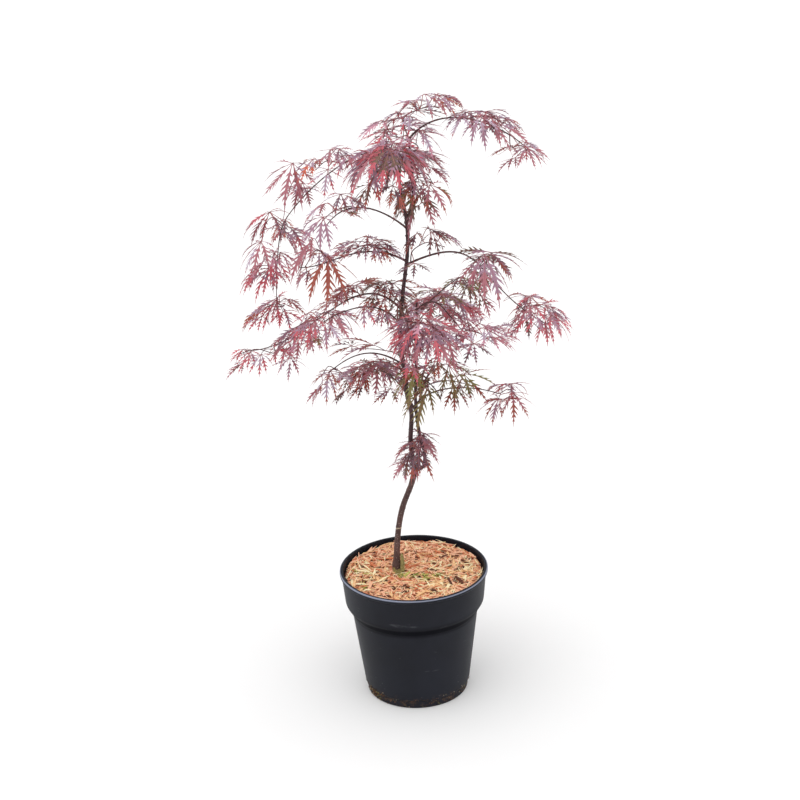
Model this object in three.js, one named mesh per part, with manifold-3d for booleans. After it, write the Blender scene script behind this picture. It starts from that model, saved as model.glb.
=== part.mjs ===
// A young cut-leaved japanese maple with weeping tiers, in a round plastic nursery pot.
// Millimetres, +Z up. The origin is the centre of the pot's flat underside; +X is to the right of the
// plant's face and +Y is its back.
import * as THREE from "three";
import { mergeVertices } from "three/addons/utils/BufferGeometryUtils.js";
import Module from "manifold-3d";

const wasm = await Module();
wasm.setup();

// ---------------------------------------------------------------- driving sizes, mm and degrees
const GAP = 0.35; // kept between neighbouring pieces

// Pot: a plain tapered pot with a deep collar under its rim and a small recessed foot.
const RIM_R = 95;
const POT_H = 170;
const LIP_H = 4.5;
const COLLAR_TOP_R = 92.8;
const COLLAR_FOOT_R = 89.2;
const COLLAR_H = 43.4;
const CHAMFER_H = 13.8;
const BODY_TOP_R = 81;
const BODY_FOOT_R = 68.4;
const FOOT_R = 65.4;
const FOOT_H = 12;
const WALL = 2.2;
const FLOOR = 3.5;
const POT_SEGMENTS = 32;

// Bark mulch over potting mix: one fill, slightly mounded, a little below the rim and higher at the back.
const FILL_RIM_Z = 158.5;
const FILL_MID_Z = 162;
const FILL_BACK = 3.6; // how much higher it is heaped at the back
const FILL_BUMP = 1.1;

// Stems: named stations [x, y, z, radius] from the foot up.
const STEM_FOOT_Z = FILL_MID_Z + GAP;
const STEMS = {
  trunk: {
    sides: 8,
    steps: 10,
    flatFoot: true,
    stations: [
      [-20.3, 0, STEM_FOOT_Z, 6.6],
      [-21.4, 0, 173, 5.0],
      [-20.9, 0, 186, 4.0],
      [-16.9, 0, 227, 3.6],
      [-10.0, 0, 257.5, 3.6],
      [1.2, 0, 285.7, 3.5],
      [6.0, 0, 302.5, 4.1],
    ],
  },
  leader: {
    sides: 6,
    steps: 14,
    stations: [
      [6.3, 0, 303.9, 3.2],
      [2.4, -1, 345, 2.9],
      [4.6, -1, 383, 2.8],
      [0.7, 0, 403, 2.7],
      [-2.5, 0, 444, 2.6],
      [-5.4, 0, 485, 2.5],
      [-0.8, 0, 534, 2.4],
      [7.2, 0, 590, 2.2],
      [7.5, 0, 628, 2.3],
      [1.3, 0, 671, 1.7],
      [2.4, 0, 707, 1.3],
    ],
  },
  right_stem: {
    sides: 6,
    steps: 10,
    stations: [
      [7.5, 1.5, 303.6, 2.4],
      [17.5, 3, 309, 2.3],
      [19.4, 4, 322, 2.2],
      [12.6, 5, 361, 2.1],
      [10.4, 4.5, 395, 2.0],
      [13.4, 3.5, 455, 1.9],
      [15.9, 3, 525, 1.2],
    ],
  },
  right_fork_limb: {
    sides: 6,
    steps: 6,
    stations: [
      [7.6, 0, 627, 1.9],
      [11.4, 0, 639, 1.8],
      [16.6, 0, 666, 1.6],
      [13.6, 0, 727, 1.2],
    ],
  },
};

// Boughs: where each starts on its stem, the way it heads (degrees from +X towards +Y), how far it
// reaches, how much higher its tip is than its start, the slopes at which it leaves and arrives, and
// how hard it is pulled along each. Every one is a single tapering arch.
const BOUGH_R0 = 1.35;
const BOUGH_R1 = 0.7;
const BOUGH_SIDES = 6;
const BOUGHS = {
  bough_top_right: { from: [13.5, 0, 726], az: 12, reach: 141, rise: -21, leave: 50, pull: 0.43, arrive: -48, drag: 0.26 },
  bough_high_left: { from: [2.6, 0, 704.5], az: 160, reach: 153, rise: -86, leave: 39, pull: 0.3, arrive: -58, drag: 0.23 },
  bough_high_left_weeping: { from: [-141.4, 52.4, 617.4], az: 152, reach: 19, rise: -113, leave: -58, pull: 0.23, arrive: -85, drag: 0.19, r0: 0.9, r1: 0.6 },
  bough_upper_left: { from: [7.4, 0, 619], az: 220, reach: 122, rise: 27, leave: 42, pull: 0.36, arrive: -45, drag: 0.38 },
  bough_mid_left: { from: [4.6, 0, 579], az: 194, reach: 129, rise: 6, leave: 33, pull: 0.52, arrive: 8, drag: 0.3 },
  bough_long_left: { from: [-3, 0, 518], az: 152, reach: 228, rise: -83, leave: 43, pull: 0.36, arrive: -7, drag: 0.41, r0: 1.5 },
  bough_left_front: { from: [-5, 0, 499], az: 228, reach: 132, rise: 40, leave: 52, pull: 0.38, arrive: -9, drag: 0.36 },
  bough_low_left: { from: [-2.6, 0, 446], az: 160, reach: 100, rise: -19, leave: 32, pull: 0.47, arrive: -42, drag: 0.39 },
  bough_mid_right: { from: [5.2, 0, 574], az: -10, reach: 173, rise: -75, leave: 26, pull: 0.61, arrive: -27, drag: 0.58, r0: 1.45 },
  bough_right_back: { from: [15.6, 3, 511], az: 48, reach: 92, rise: 22, leave: 18, pull: 0.2, arrive: -39, drag: 0.14 },
  bough_right_front: { from: [15.8, 3, 516], az: -42, reach: 84, rise: -19, leave: 41, pull: 0.64, arrive: -21, drag: 0.5 },
  bough_low_right: { from: [10.4, 4.5, 391], az: -8, reach: 98, rise: 18, leave: 57, pull: 0.31, arrive: -17, drag: 0.35 },
  bough_high_back: { from: [16.4, 0, 668], az: 98, reach: 132, rise: -6, leave: 48, pull: 0.4, arrive: -30, drag: 0.35 },
  bough_mid_back: { from: [-3.4, 0, 456], az: 66, reach: 165, rise: 12, leave: 42, pull: 0.4, arrive: -30, drag: 0.35 },
  bough_low_back: { from: [10.6, 4.7, 380], az: 116, reach: 150, rise: 6, leave: 42, pull: 0.4, arrive: -30, drag: 0.35 },
  bough_high_front: { from: [1, 0, 688], az: -100, reach: 92, rise: 2, leave: 45, pull: 0.4, arrive: -40, drag: 0.35 },
  bough_mid_front: { from: [-5.2, 0, 497], az: -84, reach: 95, rise: 25, leave: 45, pull: 0.4, arrive: -30, drag: 0.35 },
  bough_low_front: { from: [10.8, 4.3, 416], az: -68, reach: 78, rise: 10, leave: 45, pull: 0.4, arrive: -30, drag: 0.35 },
  bough_foot_sprig: { from: [5, -0.6, 315], az: -60, reach: 34, rise: 22, leave: 45, pull: 0.4, arrive: 10, drag: 0.35, r0: 0.9, r1: 0.6 },
};

// Masses of leaves: each is an uneven umbrella-shaped pad of drooping leaves on one bough.
//   at      how far along the bough its middle is (past 1 is beyond the tip)
//   side    how far it sits to the left of the bough, seen along it
//   lift    how far its top is above the bough
//   long, wide, hang   its size along the bough, across it, and how far its edge droops
//   turn    how far its long side is turned from the bough
//   end     true where the bough ends inside it
const PAD_SPOKES = 12;
const PAD_THICK = 16; // in the middle
const PAD_EDGE = 0.45; // of that, at the edge
const PADS = {
  leaves_crown_top: { on: "bough_top_right", at: 0.15, side: 10, lift: 35, long: 94, wide: 91, hang: 21, turn: 0 },
  leaves_crown_left: { on: "bough_high_left", at: 0.03, side: -6, lift: 41, long: 104, wide: 109, hang: 24, turn: 0 },
  leaves_arch_right: { on: "bough_top_right", at: 0.59, side: -8, lift: 19, long: 112, wide: 91, hang: 29, turn: 0 },
  leaves_arch_right_tip: { on: "bough_top_right", at: 0.91, side: -6, lift: 2, long: 44, wide: 85, hang: 19, turn: 0, end: true },
  leaves_crown_front: { on: "bough_high_front", at: 0.53, side: -3, lift: 46, long: 72, wide: 93, hang: 77, turn: 90, end: true },
  leaves_crown_front_low: { on: "bough_high_front", at: 0.1, side: 27, lift: 2, long: 47, wide: 80, hang: 52, turn: 90 },
  leaves_left_shoulder: { on: "bough_high_left", at: 0.54, side: 4, lift: 33, long: 53, wide: 97, hang: 23, turn: 0 },
  leaves_high_left: { on: "bough_high_left", at: 0.83, side: -1, lift: 52, long: 42, wide: 101, hang: 65, turn: 0 },
  leaves_high_left_bend: { on: "bough_high_left", at: 1.13, side: 17, lift: 20, long: 66, wide: 96, hang: 61, turn: 0, end: true },
  leaves_high_left_hang: { on: "bough_high_left_weeping", at: 0.47, side: 19, lift: 30, long: 52, wide: 76, hang: 45, turn: 0 },
  leaves_high_left_tip: { on: "bough_high_left_weeping", at: 1.13, side: -5, lift: 10, long: 70, wide: 92, hang: 23, turn: 0, end: true },
  leaves_upper_left: { on: "bough_upper_left", at: 0.96, side: 9, lift: 30, long: 107, wide: 60, hang: 28, turn: 0, end: true },
  leaves_mid_left_inner: { on: "bough_mid_left", at: 0.32, side: 1, lift: 16, long: 88, wide: 83, hang: 17, turn: 0 },
  leaves_mid_left: { on: "bough_mid_left", at: 0.82, side: 8, lift: 42, long: 57, wide: 105, hang: 60, turn: 0, end: true },
  leaves_long_left_inner: { on: "bough_long_left", at: 0.08, side: 3, lift: 20, long: 61, wide: 82, hang: 30, turn: 0 },
  leaves_long_left_mid: { on: "bough_long_left", at: 0.37, side: -6, lift: 18, long: 42, wide: 118, hang: 13, turn: 0 },
  leaves_long_left_outer: { on: "bough_long_left", at: 0.69, side: -3, lift: 7, long: 57, wide: 108, hang: 34, turn: 0 },
  leaves_long_left_tip: { on: "bough_long_left", at: 0.95, side: -7, lift: 5, long: 100, wide: 64, hang: 22, turn: 0, end: true },
  leaves_left_front: { on: "bough_left_front", at: 0.88, side: -17, lift: 7, long: 71, wide: 78, hang: 33, turn: 0, end: true },
  leaves_low_left: { on: "bough_low_left", at: 1.02, side: -7, lift: 13, long: 42, wide: 68, hang: 37, turn: 0, end: true },
  leaves_low_left_inner: { on: "bough_low_left", at: 0.28, side: 6, lift: 16, long: 116, wide: 64, hang: 14, turn: 0 },
  leaves_mid_right_inner: { on: "bough_mid_right", at: 0.11, side: -18, lift: 42, long: 72, wide: 72, hang: 29, turn: 0 },
  leaves_mid_right: { on: "bough_mid_right", at: 0.59, side: 4, lift: 38, long: 42, wide: 89, hang: 50, turn: 0 },
  leaves_mid_right_tip: { on: "bough_mid_right", at: 0.94, side: 18, lift: 22, long: 71, wide: 112, hang: 32, turn: 0, end: true },
  leaves_right_back: { on: "bough_right_back", at: 0.96, side: -16, lift: 9, long: 60, wide: 60, hang: 31, turn: 0, end: true },
  leaves_mid_front: { on: "bough_mid_front", at: 0.93, side: 17, lift: 12, long: 75, wide: 114, hang: 43, turn: 90, end: true },
  leaves_right_front: { on: "bough_right_front", at: 1.26, side: -2, lift: 17, long: 76, wide: 112, hang: 14, turn: 0, end: true },
  leaves_low_front: { on: "bough_low_front", at: 0.51, side: 10, lift: 44, long: 78, wide: 64, hang: 80, turn: 60, end: true },
  leaves_low_right_inner: { on: "bough_low_right", at: 0.47, side: -4, lift: 24, long: 120, wide: 63, hang: 31, turn: 0 },
  leaves_low_right_tip: { on: "bough_low_right", at: 1.29, side: -8, lift: 15, long: 42, wide: 83, hang: 31, turn: 0, end: true },
  leaves_foot_sprig: { on: "bough_foot_sprig", at: 0.62, side: -5, lift: 30, long: 42, wide: 118, hang: 41, turn: 50, end: true },
  leaves_high_back: { on: "bough_high_back", at: 0.78, side: 0, lift: 22, long: 118, wide: 112, hang: 34, turn: 0, end: true },
  leaves_mid_back: { on: "bough_mid_back", at: 0.78, side: 0, lift: 20, long: 124, wide: 108, hang: 38, turn: 0, end: true },
  leaves_low_back: { on: "bough_low_back", at: 0.78, side: 0, lift: 20, long: 116, wide: 110, hang: 38, turn: 0, end: true },
};

// ---------------------------------------------------------------- helpers
const rad = THREE.MathUtils.degToRad;

// A repeatable number from -1 to 1.
function uneven(seed, k) {
  const v = Math.sin(seed * 12.9898 + k * 78.233) * 43758.5453;
  return (v - Math.floor(v)) * 2 - 1;
}

function indexed(positions, faces) {
  const g = new THREE.BufferGeometry();
  g.setAttribute("position", new THREE.Float32BufferAttribute(positions.flat(), 3));
  g.setIndex(faces.flat());
  return g;
}

function toSolid(geometry) {
  const g = geometry.clone();
  g.deleteAttribute("normal");
  g.deleteAttribute("uv");
  const m = mergeVertices(g, 1e-4);
  return new wasm.Manifold(
    new wasm.Mesh({
      numProp: 3,
      vertProperties: new Float32Array(m.attributes.position.array),
      triVerts: new Uint32Array(m.index.array),
    }),
  );
}

function toGeometry(solid) {
  const m = solid.getMesh();
  const g = new THREE.BufferGeometry();
  g.setAttribute("position", new THREE.BufferAttribute(new Float32Array(m.vertProperties), 3));
  g.setIndex(new THREE.BufferAttribute(new Uint32Array(m.triVerts), 1));
  const flat = g.toNonIndexed();
  flat.computeVertexNormals();
  return flat;
}

// The largest piece of a solid, where a cut has left crumbs.
function largest(solid) {
  return solid.decompose().reduce((a, b) => (b.volume() > a.volume() ? b : a));
}

function boxesMeet(a, b) {
  const p = a.boundingBox(), q = b.boundingBox();
  return [0, 1, 2].every((i) => p.min[i] <= q.max[i] && q.min[i] <= p.max[i]);
}

function cutRound(solid, others) {
  let s = solid;
  for (const o of others) if (boxesMeet(s, o)) s = s.subtract(o);
  return s === solid ? s : largest(s);
}

// A closed tapering limb through rings of the given centres and radii.
function limb(centres, radii, sides, flatFoot = false) {
  const positions = [], faces = [];
  const n = centres.length;
  let side = new THREE.Vector3(0, 1, 0);
  centres.forEach((c, i) => {
    const t = new THREE.Vector3()
      .subVectors(centres[Math.min(i + 1, n - 1)], centres[Math.max(i - 1, 0)])
      .normalize();
    if (flatFoot && i === 0) t.set(0, 0, 1);
    const u = side.clone().addScaledVector(t, -side.dot(t)).normalize();
    const v = new THREE.Vector3().crossVectors(t, u);
    side = u;
    for (let k = 0; k < sides; k++) {
      const a = (2 * Math.PI * k) / sides;
      const p = c.clone()
        .addScaledVector(u, Math.cos(a) * radii[i])
        .addScaledVector(v, Math.sin(a) * radii[i]);
      positions.push(p.toArray());
    }
  });
  for (let i = 0; i + 1 < n; i++)
    for (let k = 0; k < sides; k++) {
      const a = i * sides + k, b = i * sides + ((k + 1) % sides);
      faces.push([a, b, b + sides], [a, b + sides, a + sides]);
    }
  for (let k = 1; k + 1 < sides; k++) {
    faces.push([0, k + 1, k]);
    const top = (n - 1) * sides;
    faces.push([top, top + k, top + k + 1]);
  }
  return indexed(positions, faces);
}

// A limb's copy with four sides, which clears it all round: what a mass of leaves is cut with.
const TUNNEL_SIDES = 4;
const tunnelR = (r) => (r + GAP) / Math.cos(Math.PI / TUNNEL_SIDES);

function stemSolid({ stations, sides, steps, flatFoot }, grow = 0, tunnel = false) {
  const curve = new THREE.CatmullRomCurve3(
    stations.map(([x, y, z]) => new THREE.Vector3(x, y, z)), false, "centripetal",
  );
  const last = stations.length - 1;
  const centres = [], radii = [];
  for (let i = 0; i <= steps; i++) {
    const t = i / steps, s = t * last, j = Math.min(Math.floor(s), last - 1);
    centres.push(curve.getPoint(t));
    const r = THREE.MathUtils.lerp(stations[j][3], stations[j + 1][3], s - j);
    radii.push(tunnel ? tunnelR(r) : r + grow);
  }
  if (grow || tunnel) extend(centres, GAP);
  return toSolid(limb(centres, radii, tunnel ? TUNNEL_SIDES : sides, flatFoot));
}

// Lengthens a grown copy at both ends, so that what it cuts clears the ends too.
function extend(centres, by) {
  const n = centres.length;
  const a = centres[0].clone().sub(centres[1]).setLength(by);
  const b = centres[n - 1].clone().sub(centres[n - 2]).setLength(by);
  centres[0].add(a);
  centres[n - 1].add(b);
}

// The arch of a bough as a cubic curve in its own upright plane.
function boughCurve({ from, az, reach, rise, leave, pull, arrive, drag }) {
  const span = Math.hypot(reach, rise);
  const place = (s, z) =>
    new THREE.Vector3(from[0] + s * Math.cos(rad(az)), from[1] + s * Math.sin(rad(az)), from[2] + z);
  return new THREE.CubicBezierCurve3(
    place(0, 0),
    place(pull * span * Math.cos(rad(leave)), pull * span * Math.sin(rad(leave))),
    place(reach - drag * span * Math.cos(rad(arrive)), rise - drag * span * Math.sin(rad(arrive))),
    place(reach, rise),
  );
}

function boughSolid(b, grow = 0, tunnel = false) {
  const curve = boughCurve(b);
  const steps = b.reach > 120 ? 7 : b.reach > 60 || b.rise < -60 ? 6 : 4;
  const centres = [], radii = [];
  for (let i = 0; i <= steps; i++) {
    const t = i / steps;
    centres.push(curve.getPoint(t));
    const r = THREE.MathUtils.lerp(b.r0 ?? BOUGH_R0, b.r1 ?? BOUGH_R1, t);
    radii.push(tunnel ? tunnelR(r) : r + grow);
  }
  if (grow || tunnel) extend(centres, GAP);
  return toSolid(limb(centres, radii, tunnel ? TUNNEL_SIDES : BOUGH_SIDES));
}

// One uneven umbrella of drooping leaves. Its spokes are leaf tips and the notches between them.
function padSolid(pad, seed, grow = 0) {
  const b = BOUGHS[pad.on], curve = boughCurve(b);
  const t = Math.min(pad.at, 1);
  const c = curve.getPoint(t);
  const d = curve.getTangent(t);
  const flat = Math.max(Math.hypot(d.x, d.y), 1e-6);
  const lean = THREE.MathUtils.clamp(THREE.MathUtils.radToDeg(Math.atan2(-d.z, flat)), -25, 35) * 0.5;
  const past = Math.max(pad.at - 1, 0) * 60;
  const out = rad(b.az), turned = rad(b.az + pad.turn);
  c.x += Math.cos(out) * past - Math.sin(out) * pad.side;
  c.y += Math.sin(out) * past + Math.cos(out) * pad.side;
  c.z += pad.lift;
  const positions = [], faces = [], rings = [0.55, 1];
  const put = (x, y, z) =>
    positions.push([
      c.x + x * Math.cos(turned) - y * Math.sin(turned),
      c.y + x * Math.sin(turned) + y * Math.cos(turned),
      c.z + z - Math.tan(rad(lean)) * x,
    ]);
  for (const under of [0, 1]) {
    put(0, 0, -under * PAD_THICK + (under ? -grow : grow));
    for (const ring of rings) {
      // A grown copy clears the hollow side of the umbrella too, which is steep towards its edge.
      const off = under ? -grow * (1 + (2 * ring * pad.hang) / (Math.min(pad.long, pad.wide) / 2)) : grow;
      for (let k = 0; k < PAD_SPOKES; k++) {
        const a = (2 * Math.PI * k) / PAD_SPOKES;
        const tip = k % 2 === 0 ? 1.08 + 0.12 * uneven(seed, k) : 0.82 + 0.08 * uneven(seed, k);
        const f = 1 + (tip - 1) * ring * ring;
        const droop = -pad.hang * (ring * f) ** 2 * (0.85 + 0.15 * uneven(seed + 0.5, k));
        const thick = under * PAD_THICK * (1 - (1 - PAD_EDGE) * ring * ring);
        put(
          (pad.long / 2 + grow) * Math.cos(a) * ring * f,
          (pad.wide / 2 + grow) * Math.sin(a) * ring * f,
          droop - thick + off,
        );
      }
    }
  }
  const N = PAD_SPOKES, half = 1 + rings.length * N;
  for (let k = 0; k < N; k++) {
    const j = (k + 1) % N;
    for (const [base, flip] of [[0, false], [half, true]]) {
      const turn = (f) => faces.push(flip ? [f[0], f[2], f[1]] : f);
      turn([base, base + 1 + k, base + 1 + j]);
      turn([base + 1 + k, base + 1 + N + k, base + 1 + N + j]);
      turn([base + 1 + k, base + 1 + N + j, base + 1 + j]);
    }
    const a = 1 + N + k, b2 = 1 + N + j;
    faces.push([a, half + a, half + b2], [a, half + b2, b2]);
  }
  return toSolid(indexed(positions, faces));
}

// ---------------------------------------------------------------- materials
const material = (color, roughness) => new THREE.MeshStandardMaterial({ color, roughness, metalness: 0 });
const POT_PLASTIC = material(0x2b2b31, 0.45);
const MULCH = material(0x9a5f45, 0.95);
const TRUNK_BARK = material(0x7d6461, 0.85);
const YOUNG_BARK = material(0x3b2530, 0.6);
const LEAF_TINTS = [0x9b6f82, 0x8d5562, 0x6f4746, 0xb04a55, 0x7a6a45];

const model = new THREE.Group();
model.name = "potted_japanese_maple";
function add(name, geometry, mat) {
  const mesh = new THREE.Mesh(geometry, mat);
  mesh.name = name;
  model.add(mesh);
}

// ---------------------------------------------------------------- pot
const chamferFoot = FOOT_H + (POT_H - FOOT_H - COLLAR_H - CHAMFER_H);
const collarFoot = chamferFoot + CHAMFER_H;
const lipFoot = POT_H - LIP_H;
const outer = [
  [0, 0],
  [FOOT_R - 1.5, 0],
  [FOOT_R, 1.5],
  [FOOT_R, FOOT_H - 1],
  [BODY_FOOT_R, FOOT_H + 1],
  [BODY_TOP_R, chamferFoot],
  [COLLAR_FOOT_R, collarFoot],
  [COLLAR_TOP_R, lipFoot - 1.5],
  [RIM_R, lipFoot],
  [RIM_R, POT_H - 1],
  [RIM_R - 1.2, POT_H],
];
const wallTop = COLLAR_TOP_R - WALL;
const inner = [
  [wallTop, POT_H],
  [wallTop, lipFoot - 1.5],
  [COLLAR_FOOT_R - WALL, collarFoot + 1],
  [BODY_TOP_R - WALL, chamferFoot + 1],
  [BODY_FOOT_R - WALL, FOOT_H + 1],
  [FOOT_R - WALL, FOOT_H - 1],
  [FOOT_R - WALL - 1, FLOOR],
  [0, FLOOR],
];
const profile = (pairs) => pairs.map(([r, z]) => new THREE.Vector2(r, z));
// A turned profile stands along Y, so it is laid over to stand along Z.
function turned(pairs) {
  const g = new THREE.LatheGeometry(profile(pairs), POT_SEGMENTS);
  g.rotateX(Math.PI / 2);
  return g;
}
add("pot", turned([...outer, ...inner]), POT_PLASTIC);

// ---------------------------------------------------------------- mulch and potting mix
function fillGeometry() {
  const side = [
    [FOOT_R - WALL - 1 - GAP, FLOOR + GAP],
    [FOOT_R - WALL - GAP, FOOT_H - 1],
    [BODY_FOOT_R - WALL - GAP, FOOT_H + 1.5],
    [BODY_TOP_R - WALL - GAP, chamferFoot + 1.5],
    [COLLAR_FOOT_R - WALL - GAP, collarFoot + 1.5],
  ];
  const edgeR = THREE.MathUtils.mapLinear(
    FILL_RIM_Z, collarFoot + 1, lipFoot - 1.5, COLLAR_FOOT_R - WALL, wallTop,
  ) - GAP - 0.2;
  const positions = [[0, 0, FLOOR + GAP]], faces = [];
  const N = POT_SEGMENTS;
  const ring = (r, height) => {
    for (let k = 0; k < N; k++) {
      const a = (2 * Math.PI * k) / N;
      positions.push([r * Math.cos(a), r * Math.sin(a), height(k)]);
    }
  };
  side.forEach(([r, z]) => ring(r, () => z));
  const surface = [
    [edgeR, 0],
    [68, 0.45],
    [44, 1],
  ];
  surface.forEach(([r, mound], i) =>
    ring(r, (k) =>
      THREE.MathUtils.lerp(FILL_RIM_Z, FILL_MID_Z, mound) +
      FILL_BACK * THREE.MathUtils.clamp((r * Math.sin((2 * Math.PI * k) / N) - 8) / 62, 0, 1) + (mound < 1 ? FILL_BUMP * (uneven(i + 3, k) - 0.5 * mound) : 0),
    ),
  );
  const rings = side.length + surface.length;
  positions.push([0, 0, FILL_MID_Z]);
  const top = positions.length - 1;
  for (let k = 0; k < N; k++) {
    const j = (k + 1) % N;
    faces.push([0, 1 + j, 1 + k]);
    for (let i = 0; i + 1 < rings; i++) {
      const a = 1 + i * N + k, b = 1 + i * N + j;
      faces.push([a, b, b + N], [a, b + N, a + N]);
    }
    const last = 1 + (rings - 1) * N;
    faces.push([top, last + k, last + j]);
  }
  return indexed(positions, faces);
}
add("mulch", fillGeometry(), MULCH);

// ---------------------------------------------------------------- stems
const stems = {}, grownLimbs = {}, tunnels = {};
for (const [name, stem] of Object.entries(STEMS)) {
  const solid = cutRound(stemSolid(stem), Object.values(grownLimbs));
  stems[name] = solid;
  grownLimbs[name] = stemSolid(stem, GAP);
  tunnels[name] = stemSolid(stem, 0, true);
  const g = toGeometry(solid);
  add(name, g, name === "trunk" ? TRUNK_BARK : YOUNG_BARK);
}

// ---------------------------------------------------------------- boughs and masses of leaves
const padEntries = Object.entries(PADS);
const boughs = {};
for (const [name, b] of Object.entries(BOUGHS)) {
  boughs[name] = cutRound(boughSolid(b), Object.values(grownLimbs));
  grownLimbs[name] = boughSolid(b, GAP);
  tunnels[name] = boughSolid(b, 0, true);
}
// Each bough ends where it enters the mass at its end.
padEntries.forEach(([, pad], i) => {
  if (!pad.end) return;
  boughs[pad.on] = cutRound(boughs[pad.on], [padSolid(pad, i + 1, GAP)]);
});
for (const [name, solid] of Object.entries(boughs)) {
  add(name, toGeometry(solid), YOUNG_BARK);
}

// The masses are cut round every limb that runs through them, and round each other.
const laid = [];
padEntries.forEach(([name, pad], i) => {
  const through = Object.entries(tunnels)
    .filter(([limbName]) => !(pad.end && limbName === pad.on))
    .map(([, solid]) => solid);
  const solid = cutRound(padSolid(pad, i + 1), [...through, ...laid]);
  laid.push(padSolid(pad, i + 1, GAP));
  const b = BOUGHS[pad.on];
  add(name, toGeometry(solid), material(LEAF_TINTS[i % LEAF_TINTS.length], 0.7));
});

export default model;
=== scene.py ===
import math

import bpy
import numpy as np
from mathutils import Matrix


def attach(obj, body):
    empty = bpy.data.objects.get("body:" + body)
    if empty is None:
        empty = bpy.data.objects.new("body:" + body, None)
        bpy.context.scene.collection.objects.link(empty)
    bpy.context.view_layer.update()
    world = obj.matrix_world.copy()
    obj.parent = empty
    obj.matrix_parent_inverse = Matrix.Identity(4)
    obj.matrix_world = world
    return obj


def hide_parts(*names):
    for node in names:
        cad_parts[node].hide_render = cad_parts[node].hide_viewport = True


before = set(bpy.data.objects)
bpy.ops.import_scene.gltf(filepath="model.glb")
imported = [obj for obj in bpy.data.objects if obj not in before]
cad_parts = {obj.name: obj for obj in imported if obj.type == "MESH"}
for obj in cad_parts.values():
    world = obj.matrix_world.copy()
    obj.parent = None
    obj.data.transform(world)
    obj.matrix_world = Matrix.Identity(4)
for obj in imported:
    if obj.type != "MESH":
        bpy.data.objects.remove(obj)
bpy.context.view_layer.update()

MM = 0.001
SEED = 20817

# ------------------------------------------------------------------ sizes shared with the solids
RIM_R, POT_H, LIP_H = 95.0, 170.0, 4.5
COLLAR_TOP_R, COLLAR_FOOT_R, COLLAR_H, CHAMFER_H = 92.8, 89.2, 43.4, 13.8
BODY_TOP_R, BODY_FOOT_R, FOOT_R, FOOT_H = 81.0, 68.4, 65.4, 12.0
WALL, FLOOR = 2.2, 3.5
FILL_RIM_Z, FILL_MID_Z, FILL_BACK = 158.5, 162.0, 3.6
CHAMFER_FOOT = POT_H - COLLAR_H - CHAMFER_H
COLLAR_FOOT = CHAMFER_FOOT + CHAMFER_H
LIP_FOOT = POT_H - LIP_H

STEMS = {
    "trunk": [
        (-20.3, 0, 162.35, 6.6), (-21.4, 0, 173, 5.0), (-20.9, 0, 186, 4.0), (-16.9, 0, 227, 3.6),
        (-10.0, 0, 257.5, 3.6), (1.2, 0, 285.7, 3.5), (6.0, 0, 302.5, 4.1),
    ],
    "leader": [
        (6.3, 0, 303.9, 3.2), (2.4, -1, 345, 2.9), (4.6, -1, 383, 2.8), (0.7, 0, 403, 2.7),
        (-2.5, 0, 444, 2.6), (-5.4, 0, 485, 2.5), (-0.8, 0, 534, 2.4), (7.2, 0, 590, 2.2),
        (7.5, 0, 628, 2.3), (1.3, 0, 671, 1.7), (2.4, 0, 707, 1.3),
    ],
    "right_stem": [
        (7.5, 1.5, 303.6, 2.4), (17.5, 3, 309, 2.3), (19.4, 4, 322, 2.2), (12.6, 5, 361, 2.1),
        (10.4, 4.5, 395, 2.0), (13.4, 3.5, 455, 1.9), (15.9, 3, 525, 1.2),
    ],
    "right_fork_limb": [
        (7.6, 0, 627, 1.9), (11.4, 0, 639, 1.8), (16.6, 0, 666, 1.6), (13.6, 0, 727, 1.2),
    ],
}

BOUGH_R0, BOUGH_R1 = 1.35, 0.7
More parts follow.
